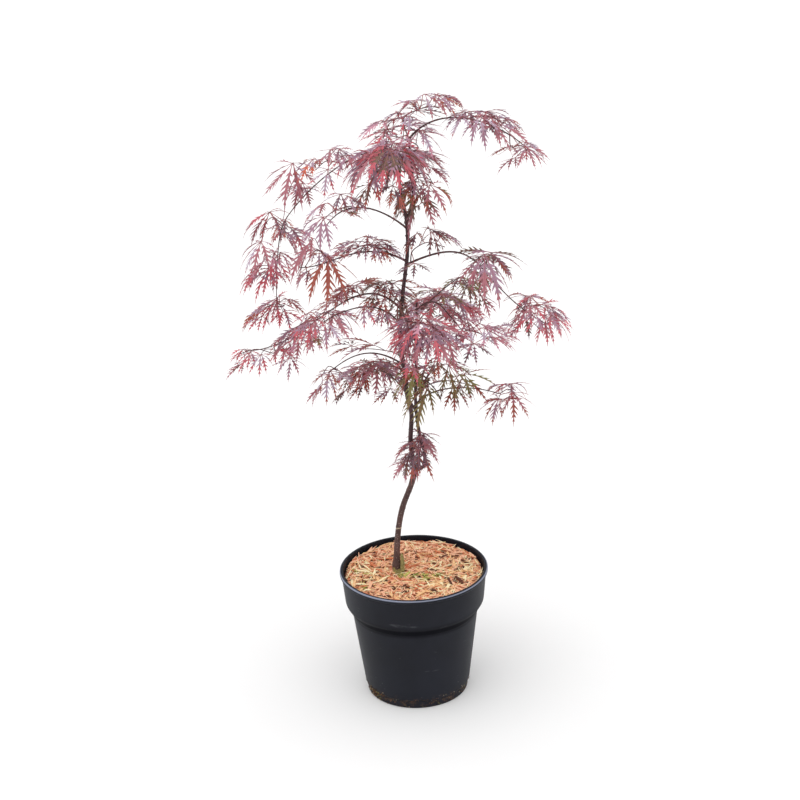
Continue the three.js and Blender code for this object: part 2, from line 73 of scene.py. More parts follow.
# start, heading, reach, rise, leaving slope, pull, arriving slope, drag, and radii where they differ
BOUGHS = {
    "bough_top_right": dict(at=(13.5, 0, 726), az=12, reach=141, rise=-21, leave=50, pull=0.43, arrive=-48, drag=0.26),
    "bough_high_left": dict(at=(2.6, 0, 704.5), az=160, reach=153, rise=-86, leave=39, pull=0.3, arrive=-58, drag=0.23),
    "bough_high_left_weeping": dict(at=(-141.4, 52.4, 617.4), az=152, reach=19, rise=-113, leave=-58, pull=0.23, arrive=-85, drag=0.19, r0=0.9, r1=0.6),
    "bough_upper_left": dict(at=(7.4, 0, 619), az=220, reach=122, rise=27, leave=42, pull=0.36, arrive=-45, drag=0.38),
    "bough_mid_left": dict(at=(4.6, 0, 579), az=194, reach=129, rise=6, leave=33, pull=0.52, arrive=8, drag=0.3),
    "bough_long_left": dict(at=(-3, 0, 518), az=152, reach=228, rise=-83, leave=43, pull=0.36, arrive=-7, drag=0.41, r0=1.5),
    "bough_left_front": dict(at=(-5, 0, 499), az=228, reach=132, rise=40, leave=52, pull=0.38, arrive=-9, drag=0.36),
    "bough_low_left": dict(at=(-2.6, 0, 446), az=160, reach=100, rise=-19, leave=32, pull=0.47, arrive=-42, drag=0.39),
    "bough_mid_right": dict(at=(5.2, 0, 574), az=-10, reach=173, rise=-75, leave=26, pull=0.61, arrive=-27, drag=0.58, r0=1.45),
    "bough_right_back": dict(at=(15.6, 3, 511), az=48, reach=92, rise=22, leave=18, pull=0.2, arrive=-39, drag=0.14),
    "bough_right_front": dict(at=(15.8, 3, 516), az=-42, reach=84, rise=-19, leave=41, pull=0.64, arrive=-21, drag=0.5),
    "bough_low_right": dict(at=(10.4, 4.5, 391), az=-8, reach=98, rise=18, leave=57, pull=0.31, arrive=-17, drag=0.35),
    "bough_high_back": dict(at=(16.4, 0, 668), az=98, reach=132, rise=-6, leave=48, pull=0.4, arrive=-30, drag=0.35),
    "bough_mid_back": dict(at=(-3.4, 0, 456), az=66, reach=165, rise=12, leave=42, pull=0.4, arrive=-30, drag=0.35),
    "bough_low_back": dict(at=(10.6, 4.7, 380), az=116, reach=150, rise=6, leave=42, pull=0.4, arrive=-30, drag=0.35),
    "bough_high_front": dict(at=(1, 0, 688), az=-100, reach=92, rise=2, leave=45, pull=0.4, arrive=-40, drag=0.35),
    "bough_mid_front": dict(at=(-5.2, 0, 497), az=-84, reach=95, rise=25, leave=45, pull=0.4, arrive=-30, drag=0.35),
    "bough_low_front": dict(at=(10.8, 4.3, 416), az=-68, reach=78, rise=10, leave=45, pull=0.4, arrive=-30, drag=0.35),
    "bough_foot_sprig": dict(at=(5, -0.6, 315), az=-60, reach=34, rise=22, leave=45, pull=0.4, arrive=10, drag=0.35, r0=0.9, r1=0.6),
}

# Masses of leaves: bough, place along it, side, lift, long, wide, hang, turn, whether the bough ends
# in it, and the palette its leaves are dealt from.
PADS = {
    "leaves_crown_top": ("bough_top_right", 0.15, 10, 35, 94, 91, 21, 0, False, "silver_red"),
    "leaves_crown_left": ("bough_high_left", 0.03, -6, 41, 104, 109, 24, 0, False, "pink"),
    "leaves_arch_right": ("bough_top_right", 0.59, -8, 19, 112, 91, 29, 0, False, "silver"),
    "leaves_arch_right_tip": ("bough_top_right", 0.91, -6, 2, 44, 85, 19, 0, True, "rose"),
    "leaves_crown_front": ("bough_high_front", 0.53, -3, 46, 72, 93, 77, 90, True, "crown_mix"),
    "leaves_crown_front_low": ("bough_high_front", 0.1, 27, 2, 47, 80, 52, 90, False, "olive_mauve"),
    "leaves_left_shoulder": ("bough_high_left", 0.54, 4, 33, 53, 97, 23, 0, False, "silver_red"),
    "leaves_high_left": ("bough_high_left", 0.83, -1, 52, 42, 101, 65, 0, False, "silver_red"),
    "leaves_high_left_bend": ("bough_high_left", 1.13, 17, 20, 66, 96, 61, 0, True, "rose"),
    "leaves_high_left_hang": ("bough_high_left_weeping", 0.47, 19, 30, 52, 76, 45, 0, False, "pink"),
    "leaves_high_left_tip": ("bough_high_left_weeping", 1.13, -5, 10, 70, 92, 23, 0, True, "rose_crimson"),
    "leaves_upper_left": ("bough_upper_left", 0.96, 9, 30, 107, 60, 28, 0, True, "silver"),
    "leaves_mid_left_inner": ("bough_mid_left", 0.32, 1, 16, 88, 83, 17, 0, False, "silver"),
    "leaves_mid_left": ("bough_mid_left", 0.82, 8, 42, 57, 105, 60, 0, True, "silver_red"),
    "leaves_long_left_inner": ("bough_long_left", 0.08, 3, 20, 61, 82, 30, 0, False, "brown"),
    "leaves_long_left_mid": ("bough_long_left", 0.37, -6, 18, 42, 118, 13, 0, False, "rose_brown"),
    "leaves_long_left_outer": ("bough_long_left", 0.69, -3, 7, 57, 108, 34, 0, False, "lilac_rose"),
    "leaves_long_left_tip": ("bough_long_left", 0.95, -7, 5, 100, 64, 22, 0, True, "crimson"),
    "leaves_left_front": ("bough_left_front", 0.88, -17, 7, 71, 78, 33, 0, True, "rose"),
    "leaves_low_left": ("bough_low_left", 1.02, -7, 13, 42, 68, 37, 0, True, "silver_red"),
    "leaves_low_left_inner": ("bough_low_left", 0.28, 6, 16, 116, 64, 14, 0, False, "brown"),
    "leaves_mid_right_inner": ("bough_mid_right", 0.11, -18, 42, 72, 72, 29, 0, False, "dark"),
    "leaves_mid_right": ("bough_mid_right", 0.59, 4, 38, 42, 89, 50, 0, False, "mauve_brown"),
    "leaves_mid_right_tip": ("bough_mid_right", 0.94, 18, 22, 71, 112, 32, 0, True, "rose_crimson"),
    "leaves_right_back": ("bough_right_back", 0.96, -16, 9, 60, 60, 31, 0, True, "olive"),
    "leaves_mid_front": ("bough_mid_front", 0.93, 17, 12, 75, 114, 43, 90, True, "lilac_rose"),
    "leaves_right_front": ("bough_right_front", 1.26, -2, 17, 76, 112, 14, 0, True, "lilac_rose"),
    "leaves_low_front": ("bough_low_front", 0.51, 10, 44, 78, 64, 80, 60, True, "olive"),
    "leaves_low_right_inner": ("bough_low_right", 0.47, -4, 24, 120, 63, 31, 0, False, "olive"),
    "leaves_low_right_tip": ("bough_low_right", 1.29, -8, 15, 42, 83, 31, 0, True, "ember"),
    "leaves_foot_sprig": ("bough_foot_sprig", 0.62, -5, 30, 42, 118, 41, 50, True, "mauve_brown"),
    "leaves_high_back": ("bough_high_back", 0.78, 0, 22, 118, 112, 34, 0, True, "silver"),
    "leaves_mid_back": ("bough_mid_back", 0.78, 0, 20, 124, 108, 38, 0, True, "rose"),
    "leaves_low_back": ("bough_low_back", 0.78, 0, 20, 116, 110, 38, 0, True, "rose_brown"),
}

# Leaf tints, as sRGB base colours. silver is the leaves' lilac tone made paler and greyer as painted sheen, standing in
# for the sky's reflection on their upper faces.
TINTS = {
    "silver": (178, 158, 176),
    "mauve": (156, 120, 138),
    "plum": (98, 70, 80),
    "dusky": (164, 102, 112),
    "rose": (186, 82, 94),
    "crimson": (198, 52, 74),
    "red_brown": (152, 72, 54),
    "maroon": (86, 46, 47),
    "brown": (104, 76, 60),
    "ember": (196, 86, 50),
    "olive": (122, 106, 62),
    "green": (128, 126, 68),
    "pink": (198, 142, 160),
}
TINT_NAMES = list(TINTS)
# palette: chances of a leaf's own tint, then of the tint of its teeth and tips
PALETTES = {
    "silver": ({"silver": 5, "mauve": 4, "plum": 1, "dusky": 1}, {"mauve": 3, "dusky": 3, "rose": 1, "red_brown": 1}),
    "silver_red": ({"silver": 4, "mauve": 4, "dusky": 1.5, "red_brown": 0.5}, {"rose": 3, "dusky": 3, "red_brown": 2, "ember": 0.6}),
    "lilac_rose": ({"silver": 3, "mauve": 4, "pink": 1, "dusky": 2}, {"dusky": 3, "rose": 3, "pink": 1}),
    "crown_mix": ({"silver": 3, "mauve": 3, "dusky": 2, "crimson": 1, "brown": 1.5}, {"crimson": 3, "rose": 3, "dusky": 2}),
    "crimson": ({"mauve": 3, "dusky": 2, "silver": 2, "crimson": 2, "brown": 2}, {"crimson": 6, "rose": 2, "red_brown": 1}),
    "rose_crimson": ({"mauve": 4, "dusky": 3, "silver": 2, "rose": 1, "plum": 1}, {"rose": 4, "crimson": 2, "red_brown": 1}),
    "rose": ({"mauve": 5, "dusky": 3, "silver": 2, "rose": 0.7}, {"rose": 3, "dusky": 4, "red_brown": 1}),
    "rose_brown": ({"dusky": 2.5, "brown": 3, "mauve": 4, "plum": 1, "red_brown": 0.6}, {"red_brown": 2.5, "rose": 2.5, "dusky": 2}),
    "mauve_brown": ({"mauve": 4, "brown": 3, "plum": 2, "dusky": 1}, {"dusky": 3, "brown": 2, "red_brown": 1.5}),
    "ember": ({"mauve": 4, "dusky": 3, "silver": 1.5, "red_brown": 0.7, "ember": 0.5}, {"red_brown": 3, "ember": 2.4, "rose": 3}),
    "brown": ({"brown": 4, "plum": 3, "mauve": 2, "red_brown": 0.7, "olive": 1}, {"red_brown": 2.5, "dusky": 2, "brown": 2}),
    "dark": ({"plum": 4, "maroon": 2, "brown": 3, "mauve": 2}, {"plum": 2, "red_brown": 2, "maroon": 3}),
    "maroon": ({"plum": 4, "mauve": 4, "maroon": 2, "silver": 1}, {"maroon": 2, "rose": 2, "dusky": 2}),
    "olive": ({"olive": 4, "brown": 3, "green": 2, "plum": 1, "mauve": 1}, {"red_brown": 2.4, "olive": 3, "brown": 2, "ember": 0.5}),
    "olive_mauve": ({"olive": 2, "brown": 3, "mauve": 3, "dusky": 1}, {"red_brown": 2, "brown": 2, "dusky": 2}),
    "pink": ({"dusky": 3, "pink": 2, "mauve": 4, "silver": 2}, {"rose": 4, "crimson": 1.5, "pink": 2}),
}


# ------------------------------------------------------------------ small helpers
def rng_for(*words):
    return np.random.default_rng([SEED] + [ord(c) for w in words for c in str(w)])


def deal(rng, chances):
    names = list(chances)
    weights = np.array([chances[n] for n in names], float)
    return names[rng.choice(len(names), p=weights / weights.sum())]


def unit(v):
    v = np.asarray(v, float)
    return v / max(np.linalg.norm(v), 1e-9)


def lerp(a, b, t):
    return a + (b - a) * t


def linear(rgb):
    out = []
    for c in rgb:
        c /= 255
        out.append(c / 12.92 if c <= 0.04045 else ((c + 0.055) / 1.055) ** 2.4)
    return (*out, 1.0)


class Bag:
    """Triangles gathered for one piece, each with a material slot."""

    def __init__(self):
        self.v, self.f, self.m, self.n, self.count = [], [], [], 0, 0

    def add(self, verts, tris, slot=0):
        verts, tris = np.asarray(verts, float), np.asarray(tris, int)
        self.v.append(verts)
        self.f.append(tris + self.n)
        self.m.append(np.full(len(tris), slot) if np.isscalar(slot) else np.asarray(slot))
        self.n += len(verts)
        self.count += len(tris)

    def piece(self, name, materials, slot, smooth=True, nodes=()):
        me = bpy.data.meshes.new(name)
        me.from_pydata(np.concatenate(self.v) * MM, [], np.concatenate(self.f))
        for m in materials:
            me.materials.append(m)
        me.polygons.foreach_set("material_index", np.concatenate(self.m).astype(np.int32))
        me.polygons.foreach_set("use_smooth", np.full(len(me.polygons), smooth))
        me.update()
        ob = bpy.data.objects.new(name, me)
        bpy.context.scene.collection.objects.link(ob)
        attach(ob, "root")
        if nodes:
            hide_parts(*nodes)
        return ob


def frames(path):
    """Tangents and two cross directions along a path, turned as little as can be."""
    path = np.asarray(path, float)
    t = np.gradient(path, axis=0)
    t /= np.maximum(np.linalg.norm(t, axis=1, keepdims=True), 1e-9)
    u = np.zeros_like(t)
    side = np.array([0, 1.0, 0]) if abs(t[0][1]) < 0.9 else np.array([1.0, 0, 0])
    for i, d in enumerate(t):
        side = unit(side - d * side.dot(d))
        u[i] = side
    return t, u, np.cross(t, u)


def tube(path, radii, sides, relief=None, cap=True):
    """A closed tapering tube. relief(i, angles) adds to the radius at a ring."""
    path, radii = np.asarray(path, float), np.asarray(radii, float)
    _, u, w = frames(path)
    a = np.arange(sides) * 2 * math.pi / sides
    n = len(path)
    r = np.repeat(radii[:, None], sides, 1)
    if relief is not None:
        r = r + relief(path, a)
    ring = (path[:, None, :] + r[..., None] * (np.cos(a)[None, :, None] * u[:, None, :] + np.sin(a)[None, :, None] * w[:, None, :]))
    verts = ring.reshape(-1, 3)
    i, k = np.meshgrid(np.arange(n - 1), np.arange(sides), indexing="ij")
    p = (i * sides + k).ravel()
    q = (i * sides + (k + 1) % sides).ravel()
    tris = np.concatenate([np.stack([p, q, q + sides], 1), np.stack([p, q + sides, p + sides], 1)])
    if cap:
        verts = np.concatenate([verts, [path[0], path[-1]]])
        k = np.arange(sides)
        j = (k + 1) % sides
        top = (n - 1) * sides
        tris = np.concatenate([
            tris,
            np.stack([np.full(sides, n * sides), j, k], 1),
            np.stack([np.full(sides, n * sides + 1), top + k, top + j], 1),
        ])
    return verts, tris


def bezier(p, t):
    t = np.atleast_1d(t)[:, None]
    p = np.asarray(p, float)
    return (1 - t) ** 3 * p[0] + 3 * (1 - t) ** 2 * t * p[1] + 3 * (1 - t) * t * t * p[2] + t ** 3 * p[3]


def spline(points, t):
    """The centripetal curve that the stems' solids follow, at t from 0 to 1."""
    pts = np.asarray(points, float)
    last = len(pts) - 1
    ext = np.concatenate([[2 * pts[0] - pts[1]], pts, [2 * pts[-1] - pts[-2]]])
    out = []
    for s in np.atleast_1d(t) * last:
        j = min(int(s), last - 1)
        w = s - j
        p0, p1, p2, p3 = ext[j:j + 4]
        d0, d1, d2 = (max(np.linalg.norm(b - a) ** 0.5, 1e-4) for a, b in ((p0, p1), (p1, p2), (p2, p3)))
        m1 = ((p1 - p0) / d0 - (p2 - p0) / (d0 + d1) + (p2 - p1) / d1) * d1
        m2 = ((p2 - p1) / d1 - (p3 - p1) / (d1 + d2) + (p3 - p2) / d2) * d1
        out.append(p1 + m1 * w + (-3 * p1 + 3 * p2 - 2 * m1 - m2) * w ** 2 + (2 * p1 - 2 * p2 + m1 + m2) * w ** 3)
    return np.array(out)


def even_path(sample, step):
    """Points about step apart along sample(t), with their t."""
    t = np.linspace(0, 1, 400)
    p = sample(t)
    d = np.concatenate([[0], np.cumsum(np.linalg.norm(np.diff(p, axis=0), axis=1))])
    n = max(int(d[-1] / step), 3)
    ts = np.interp(np.linspace(0, d[-1], n + 1), d, t)
    return sample(ts), ts, d[-1]


def ripple(x, y, z, waves):
    """Smooth unevenness from a few waves, about -1 to 1."""
    total = 0
    for fx, fy, fz, ph in waves:
        total = total + np.sin(fx * x + fy * y + fz * z + ph)
    return total / len(waves)


def waves_for(rng, n, low, high):
    w = rng.normal(size=(n, 3))
    w /= np.linalg.norm(w, axis=1, keepdims=True)
    return [(*(a * rng.uniform(low, high)), rng.uniform(0, 6.28)) for a in w]


# ------------------------------------------------------------------ materials
def new_material(name):
    m = bpy.data.materials.new(name)
    m.use_nodes = True
    nodes, links = m.node_tree.nodes, m.node_tree.links
    return m, nodes, links, nodes["Principled BSDF"]


def noise(nodes, links, scale, detail=4.0, rough=0.55, stretch=None):
    tex = nodes.new("ShaderNodeTexNoise")
    tex.inputs["Scale"].default_value = scale
    tex.inputs["Detail"].default_value = detail
    tex.inputs["Roughness"].default_value = rough
    co = nodes.new("ShaderNodeTexCoord")
    if stretch:
        mp = nodes.new("ShaderNodeMapping")
        mp.inputs["Scale"].default_value = stretch
        links.new(co.outputs["Object"], mp.inputs["Vector"])
        links.new(mp.outputs["Vector"], tex.inputs["Vector"])
    else:
        links.new(co.outputs["Object"], tex.inputs["Vector"])
    return tex


def ramp(nodes, links, source, stops):
    r = nodes.new("ShaderNodeValToRGB")
    while len(r.color_ramp.elements) < len(stops):
        r.color_ramp.elements.new(0.5)
    for e, (at, col) in zip(r.color_ramp.elements, stops):
        e.position, e.color = at, col
    links.new(source, r.inputs["Fac"])
    return r.outputs["Color"]


def ranged(nodes, links, source, a, b, low, high):
    r = nodes.new("ShaderNodeMapRange")
    for key, v in (("From Min", a), ("From Max", b), ("To Min", low), ("To Max", high)):
        r.inputs[key].default_value = v
    links.new(source, r.inputs["Value"])
    return r.outputs["Result"]


def bump(nodes, links, bsdf, height, strength, distance, after=None):
    b = nodes.new("ShaderNodeBump")
    b.inputs["Strength"].default_value = strength
    b.inputs["Distance"].default_value = distance
    links.new(height, b.inputs["Height"])
    if after is not None:
        links.new(after.outputs["Normal"], b.inputs["Normal"])
    links.new(b.outputs["Normal"], bsdf.inputs["Normal"])
    return b


def mixed(nodes, links, fac, a, b, kind="MIX"):
    m = nodes.new("ShaderNodeMix")
    m.data_type = "RGBA"
    m.blend_type = kind
    if hasattr(fac, "links"):
        links.new(fac, m.inputs[0])
    else:
        m.inputs[0].default_value = fac
    for src, key in ((a, 6), (b, 7)):
        if hasattr(src, "links"):
            links.new(src, m.inputs[key])
        else:
            m.inputs[key].default_value = src
    return m.outputs[2]


def leaf_material(name, rgb):
    m, nodes, links, bsdf = new_material(name)
    bsdf.inputs["Base Color"].default_value = linear(rgb)
    bsdf.inputs["Specular IOR Level"].default_value = 0.45
    bsdf.inputs["Sheen Weight"].default_value = 0.1
    bsdf.inputs["Sheen Roughness"].default_value = 0.4
    tex = noise(nodes, links, 260.0, 3.0)
    links.new(ranged(nodes, links, tex.outputs["Fac"], 0.3, 0.7, 0.42, 0.62), bsdf.inputs["Roughness"])
    fine = noise(nodes, links, 900.0, 2.0)
    bump(nodes, links, bsdf, fine.outputs["Fac"], 0.35, 0.0003)
    return m


def stalk_material(name, low, high, scale=300.0, rough=(0.4, 0.6)):
    m, nodes, links, bsdf = new_material(name)
    tex = noise(nodes, links, scale, 4.0)
    links.new(ramp(nodes, links, tex.outputs["Fac"], [(0.35, linear(low)), (0.65, linear(high))]), bsdf.inputs["Base Color"])
    links.new(ranged(nodes, links, tex.outputs["Fac"], 0.3, 0.7, *rough), bsdf.inputs["Roughness"])
    bump(nodes, links, bsdf, tex.outputs["Fac"], 0.4, 0.0004)
    return m


def bark_material(name, dark, light, speck, speck_share, rough=(0.55, 0.8)):
    m, nodes, links, bsdf = new_material(name)
    grain = noise(nodes, links, 240.0, 6.0, 0.6, (1, 1, 0.22))
    base = ramp(nodes, links, grain.outputs["Fac"], [(0.3, linear(dark)), (0.72, linear(light))])
    broad = noise(nodes, links, 38.0, 3.0)
    shade = ramp(nodes, links, broad.outputs["Fac"], [(0.35, (0.72, 0.72, 0.74, 1)), (0.7, (1.12, 1.1, 1.12, 1))])
    base = mixed(nodes, links, 1.0, base, shade, "MULTIPLY")
    co = nodes.new("ShaderNodeTexCoord")
    mp = nodes.new("ShaderNodeMapping")
    mp.inputs["Scale"].default_value = (1, 1, 0.55)
    links.new(co.outputs["Object"], mp.inputs["Vector"])
    cells = nodes.new("ShaderNodeTexVoronoi")
    cells.inputs["Scale"].default_value = 520.0
    links.new(mp.outputs["Vector"], cells.inputs["Vector"])
    dots = ranged(nodes, links, cells.outputs["Distance"], speck_share, speck_share + 0.08, 1.0, 0.0)
    base = mixed(nodes, links, dots, base, linear(speck))
    links.new(base, bsdf.inputs["Base Color"])
    links.new(ranged(nodes, links, grain.outputs["Fac"], 0.3, 0.7, *rough), bsdf.inputs["Roughness"])
    first = bump(nodes, links, bsdf, grain.outputs["Fac"], 0.6, 0.0008)
    bump(nodes, links, bsdf, dots, 0.5, 0.0004, first)
    bsdf.inputs["Specular IOR Level"].default_value = 0.3
    return m


def mulch_material(name, low, high):
    m, nodes, links, bsdf = new_material(name)
    tex = noise(nodes, links, 420.0, 5.0, 0.6)
    links.new(ramp(nodes, links, tex.outputs["Fac"], [(0.3, linear(low)), (0.7, linear(high))]), bsdf.inputs["Base Color"])
    links.new(ranged(nodes, links, tex.outputs["Fac"], 0.3, 0.7, 0.75, 0.95), bsdf.inputs["Roughness"])
    bump(nodes, links, bsdf, tex.outputs["Fac"], 0.7, 0.0006)
    bsdf.inputs["Specular IOR Level"].default_value = 0.2
    return m


def pot_material():
    m, nodes, links, bsdf = new_material("pot_plastic")
    wide = noise(nodes, links, 9.0, 4.0)
    base = ramp(nodes, links, wide.outputs["Fac"], [(0.3, linear((26, 27, 33))), (0.7, linear((34, 36, 44)))])
    # pale dust in scattered specks
    cells = nodes.new("ShaderNodeTexVoronoi")
    cells.inputs["Scale"].default_value = 130.0
    co = nodes.new("ShaderNodeTexCoord")
    links.new(co.outputs["Object"], cells.inputs["Vector"])
    dots = ranged(nodes, links, cells.outputs["Distance"], 0.04, 0.09, 1.0, 0.0)
    where = noise(nodes, links, 22.0, 2.0)
    keep = ranged(nodes, links, where.outputs["Fac"], 0.5, 0.62, 0.0, 1.0)
    mul = nodes.new("ShaderNodeMath")
    mul.operation = "MULTIPLY"
    links.new(dots, mul.inputs[0])
    links.new(keep, mul.inputs[1])
    base = mixed(nodes, links, mul.outputs[0], base, linear((118, 118, 120)))
    # dirt thrown up round the foot
    sep = nodes.new("ShaderNodeSeparateXYZ")
    links.new(co.outputs["Object"], sep.inputs[0])
    low = ranged(nodes, links, sep.outputs["Z"], 0.004, 0.02, 1.0, 0.0)
    crumbs = noise(nodes, links, 190.0, 6.0, 0.7)
    grit = ranged(nodes, links, crumbs.outputs["Fac"], 0.5, 0.62, 0.0, 0.85)
    foot = nodes.new("ShaderNodeMath")
    foot.operation = "MULTIPLY"
    links.new(low, foot.inputs[0])
    links.new(grit, foot.inputs[1])
    base = mixed(nodes, links, foot.outputs[0], base, linear((88, 68, 54)))
    across = nodes.new("ShaderNodeVectorMath")
    across.operation = "LENGTH"
    flat = nodes.new("ShaderNodeVectorMath")
    flat.operation = "MULTIPLY"
    flat.inputs[1].default_value = (1, 1, 0)
    links.new(co.outputs["Object"], flat.inputs[0])
    links.new(flat.outputs["Vector"], across.inputs[0])
    # painted shade: the sloped step under the collar is coloured near black outside the wall, as shade where the collar
    # overhangs it
    up_step = ranged(nodes, links, sep.outputs["Z"], 0.1085, 0.1150, 0.0, 1.0)
    down_step = ranged(nodes, links, sep.outputs["Z"], 0.1215, 0.1300, 1.0, 0.0)
    step = nodes.new("ShaderNodeMath")
    step.operation = "MULTIPLY"
    links.new(up_step, step.inputs[0])
    links.new(down_step, step.inputs[1])
    step_shade = nodes.new("ShaderNodeMath")
    step_shade.operation = "MULTIPLY"
    links.new(step.outputs[0], step_shade.inputs[0])
    links.new(ranged(nodes, links, across.outputs["Value"], 0.0775, 0.0795, 0.0, 0.8), step_shade.inputs[1])
    base = mixed(nodes, links, step_shade.outputs[0], base, linear((13, 13, 17)))
    # painted highlight: the lip's top outer edge is coloured pale bluish grey, as light catching it; a few pale scuffs
    # run round the body
    lip_highlight = ranged(nodes, links, sep.outputs["Z"], 0.1678, 0.169, 0.0, 0.8)
    rim = nodes.new("ShaderNodeMath")
    rim.operation = "MULTIPLY"
    links.new(lip_highlight, rim.inputs[0])
    links.new(ranged(nodes, links, across.outputs["Value"], 0.0936, 0.0944, 0.0, 1.0), rim.inputs[1])
    base = mixed(nodes, links, rim.outputs[0], base, linear((150, 156, 176)))
    streaks = noise(nodes, links, 26.0, 5.0, 0.6, (1, 1, 4.5))
    scuff = ranged(nodes, links, streaks.outputs["Fac"], 0.66, 0.78, 0.0, 0.3)
    base = mixed(nodes, links, scuff, base, linear((104, 104, 108)))
    links.new(base, bsdf.inputs["Base Color"])
    fine = noise(nodes, links, 700.0, 3.0)
    both = nodes.new("ShaderNodeMath")
    both.operation = "MULTIPLY_ADD"
    both.inputs[1].default_value = 0.2
    both.inputs[2].default_value = 0.38
    links.new(wide.outputs["Fac"], both.inputs[0])
    links.new(both.outputs[0], bsdf.inputs["Roughness"])
    bump(nodes, links, bsdf, fine.outputs["Fac"], 0.25, 0.0003)
    # the painted shade band also takes the shine off the step
    links.new(ranged(nodes, links, step_shade.outputs[0], 0.0, 0.8, 0.11, 0.01), bsdf.inputs["Specular IOR Level"])
    return m


LEAF_MATERIALS = [leaf_material("leaf_" + n, c) for n, c in TINTS.items()]
PETIOLE = [stalk_material("leafstalk_red", (128, 46, 50), (172, 84, 76)), stalk_material("leafstalk_plum", (96, 54, 68), (136, 84, 98))]
RIBS = [stalk_material("leafrib", (150, 84, 92), (190, 120, 126))]
TWIG = stalk_material("twig_bark", (74, 40, 48), (118, 72, 76))
MOSSY = mulch_material("mossy_bark", (112, 100, 66), (170, 160, 104))
NODE_RING = stalk_material("pale_node_ring", (150, 132, 112), (196, 178, 152))
TRUNK_BARK = bark_material("trunk_bark", (64, 45, 44), (108, 82, 76), (172, 154, 144), 0.12)
YOUNG_BARK = bark_material("young_bark", (50, 32, 36), (92, 63, 64), (150, 124, 120), 0.1, (0.4, 0.62))
BOUGH_BARK = bark_material("bough_bark", (58, 36, 39), (108, 72, 71), (150, 120, 116), 0.08, (0.4, 0.62))

# ------------------------------------------------------------------ stems and boughs
STEP = 2.0


def stem_parts(name):
    st = np.array(STEMS[name], float)
    sample = lambda t: spline(st[:, :3], t)
    path, ts, length = even_path(sample, 1.3 if name == "trunk" else STEP)
    radii = np.interp(ts * (len(st) - 1), np.arange(len(st)), st[:, 3])
    return path, ts, radii, length


def node_rings(path, marks, size, width):
    """Extra radius along a path: a slight ring at each marked distance."""
    d = np.concatenate([[0], np.cumsum(np.linalg.norm(np.diff(path, axis=0), axis=1))])
    return sum(size * np.exp(-(((d - m) / width) ** 2)) for m in marks)


def bough_curve(b):
    span = math.hypot(b["reach"], b["rise"])
    az, lv, ar = (math.radians(b[k]) for k in ("az", "leave", "arrive"))
    flat = [
        (0, 0),
        (b["pull"] * span * math.cos(lv), b["pull"] * span * math.sin(lv)),
        (b["reach"] - b["drag"] * span * math.cos(ar), b["rise"] - b["drag"] * span * math.sin(ar)),
        (b["reach"], b["rise"]),
    ]
    x, y, z = b["at"]
    return np.array([(x + s * math.cos(az), y + s * math.sin(az), z + h) for s, h in flat])


CURVES = {n: bough_curve(b) for n, b in BOUGHS.items()}


def bough_point(name, t):
    return bezier(CURVES[name], t)[0]


def bough_way(name, t):
    a, b = bezier(CURVES[name], [max(t - 0.01, 0), min(t + 0.01, 1)])
    return unit(b - a)


def stem_relief(rng, depth, high=2.4):
    long_waves = [(rng.integers(3, 9), rng.uniform(0.05, 0.16), rng.uniform(0, 6.28)) for _ in range(5)]
    short = waves_for(rng, 6, 0.9, high)

    def relief(path, a):
        z = path[:, 2:3]
        total = sum(np.sin(k * a[None, :] + f * z + p) for k, f, p in long_waves) / 5
        x = path[:, 0:1] + 3 * np.cos(a)[None, :]
        y = path[:, 1:2] + 3 * np.sin(a)[None, :]
        return depth * (total + 0.8 * ripple(x, y, z, short))

    return relief


def bud(bag, at, way, size, slot=0):
    """A pointed winter bud."""
    t = np.linspace(0, 1, 5)
    path = np.asarray(at) + np.outer(t, way) * size
    r = size * np.array([0.22, 0.34, 0.30, 0.16, 0.02])
    bag.add(*tube(path, r, 6), slot)


trunk_bag, stem_bag, bough_bag = Bag(), Bag(), Bag()
rng = rng_for("trunk")
path, ts, radii, length = stem_parts("trunk")
radii = radii + node_rings(path, [22, 41, 66, 93, 118], 0.32, 1.3) + node_rings(path, [12], 0.9, 4.5)
ribs_at_foot = stem_relief(rng, 0.16)


def foot_relief(p, a):
    # buttresses that fade out above the foot
    z = p[:, 2:3] - 162.3
    flare = 0.7 * np.exp(-z / 6.0) * (0.5 + 0.5 * np.sin(5 * a[None, :] + 0.7) + 0.3 * np.sin(3 * a[None, :] + 2.0))
    return ribs_at_foot(p, a) + flare


verts, tris = tube(path, radii, 32, foot_relief)
verts[:, 2] = np.maximum(verts[:, 2], 162.35)
# moss on its foot, and one pale ring where an old node was
where = verts[tris].mean(1)
turn_ = np.arctan2(where[:, 1], where[:, 0] + 20.5)
slots = np.where(where[:, 2] < 169 + 2.4 * np.sin(2 * turn_ - 0.6) + 1.6 * np.sin(5 * turn_ + 1), 1, 0)
slots = np.where(np.abs(where[:, 2] - 226.6 - 0.7 * np.sin(turn_ + 1)) < 0.75, 2, slots)
trunk_bag.add(verts, tris, slots)
# the mossy stub that the graft left beside the trunk's foot
stub = np.array([(-15.8, -3.6, 160.0), (-15.0, -3.8, 167), (-14.2, -3.6, 175), (-14.0, -3.2, 183), (-14.6, -3.0, 190.5)])
sp, st_, sl = even_path(lambda t: spline(stub, t), 1.2)
v_, t_ = tube(sp, np.interp(st_, [0, 0.25, 0.75, 0.93, 1], [3.9, 3.1, 2.5, 1.8, 0.9]), 18, stem_relief(rng, 0.35, 3.0))
trunk_bag.add(v_, t_, 1)

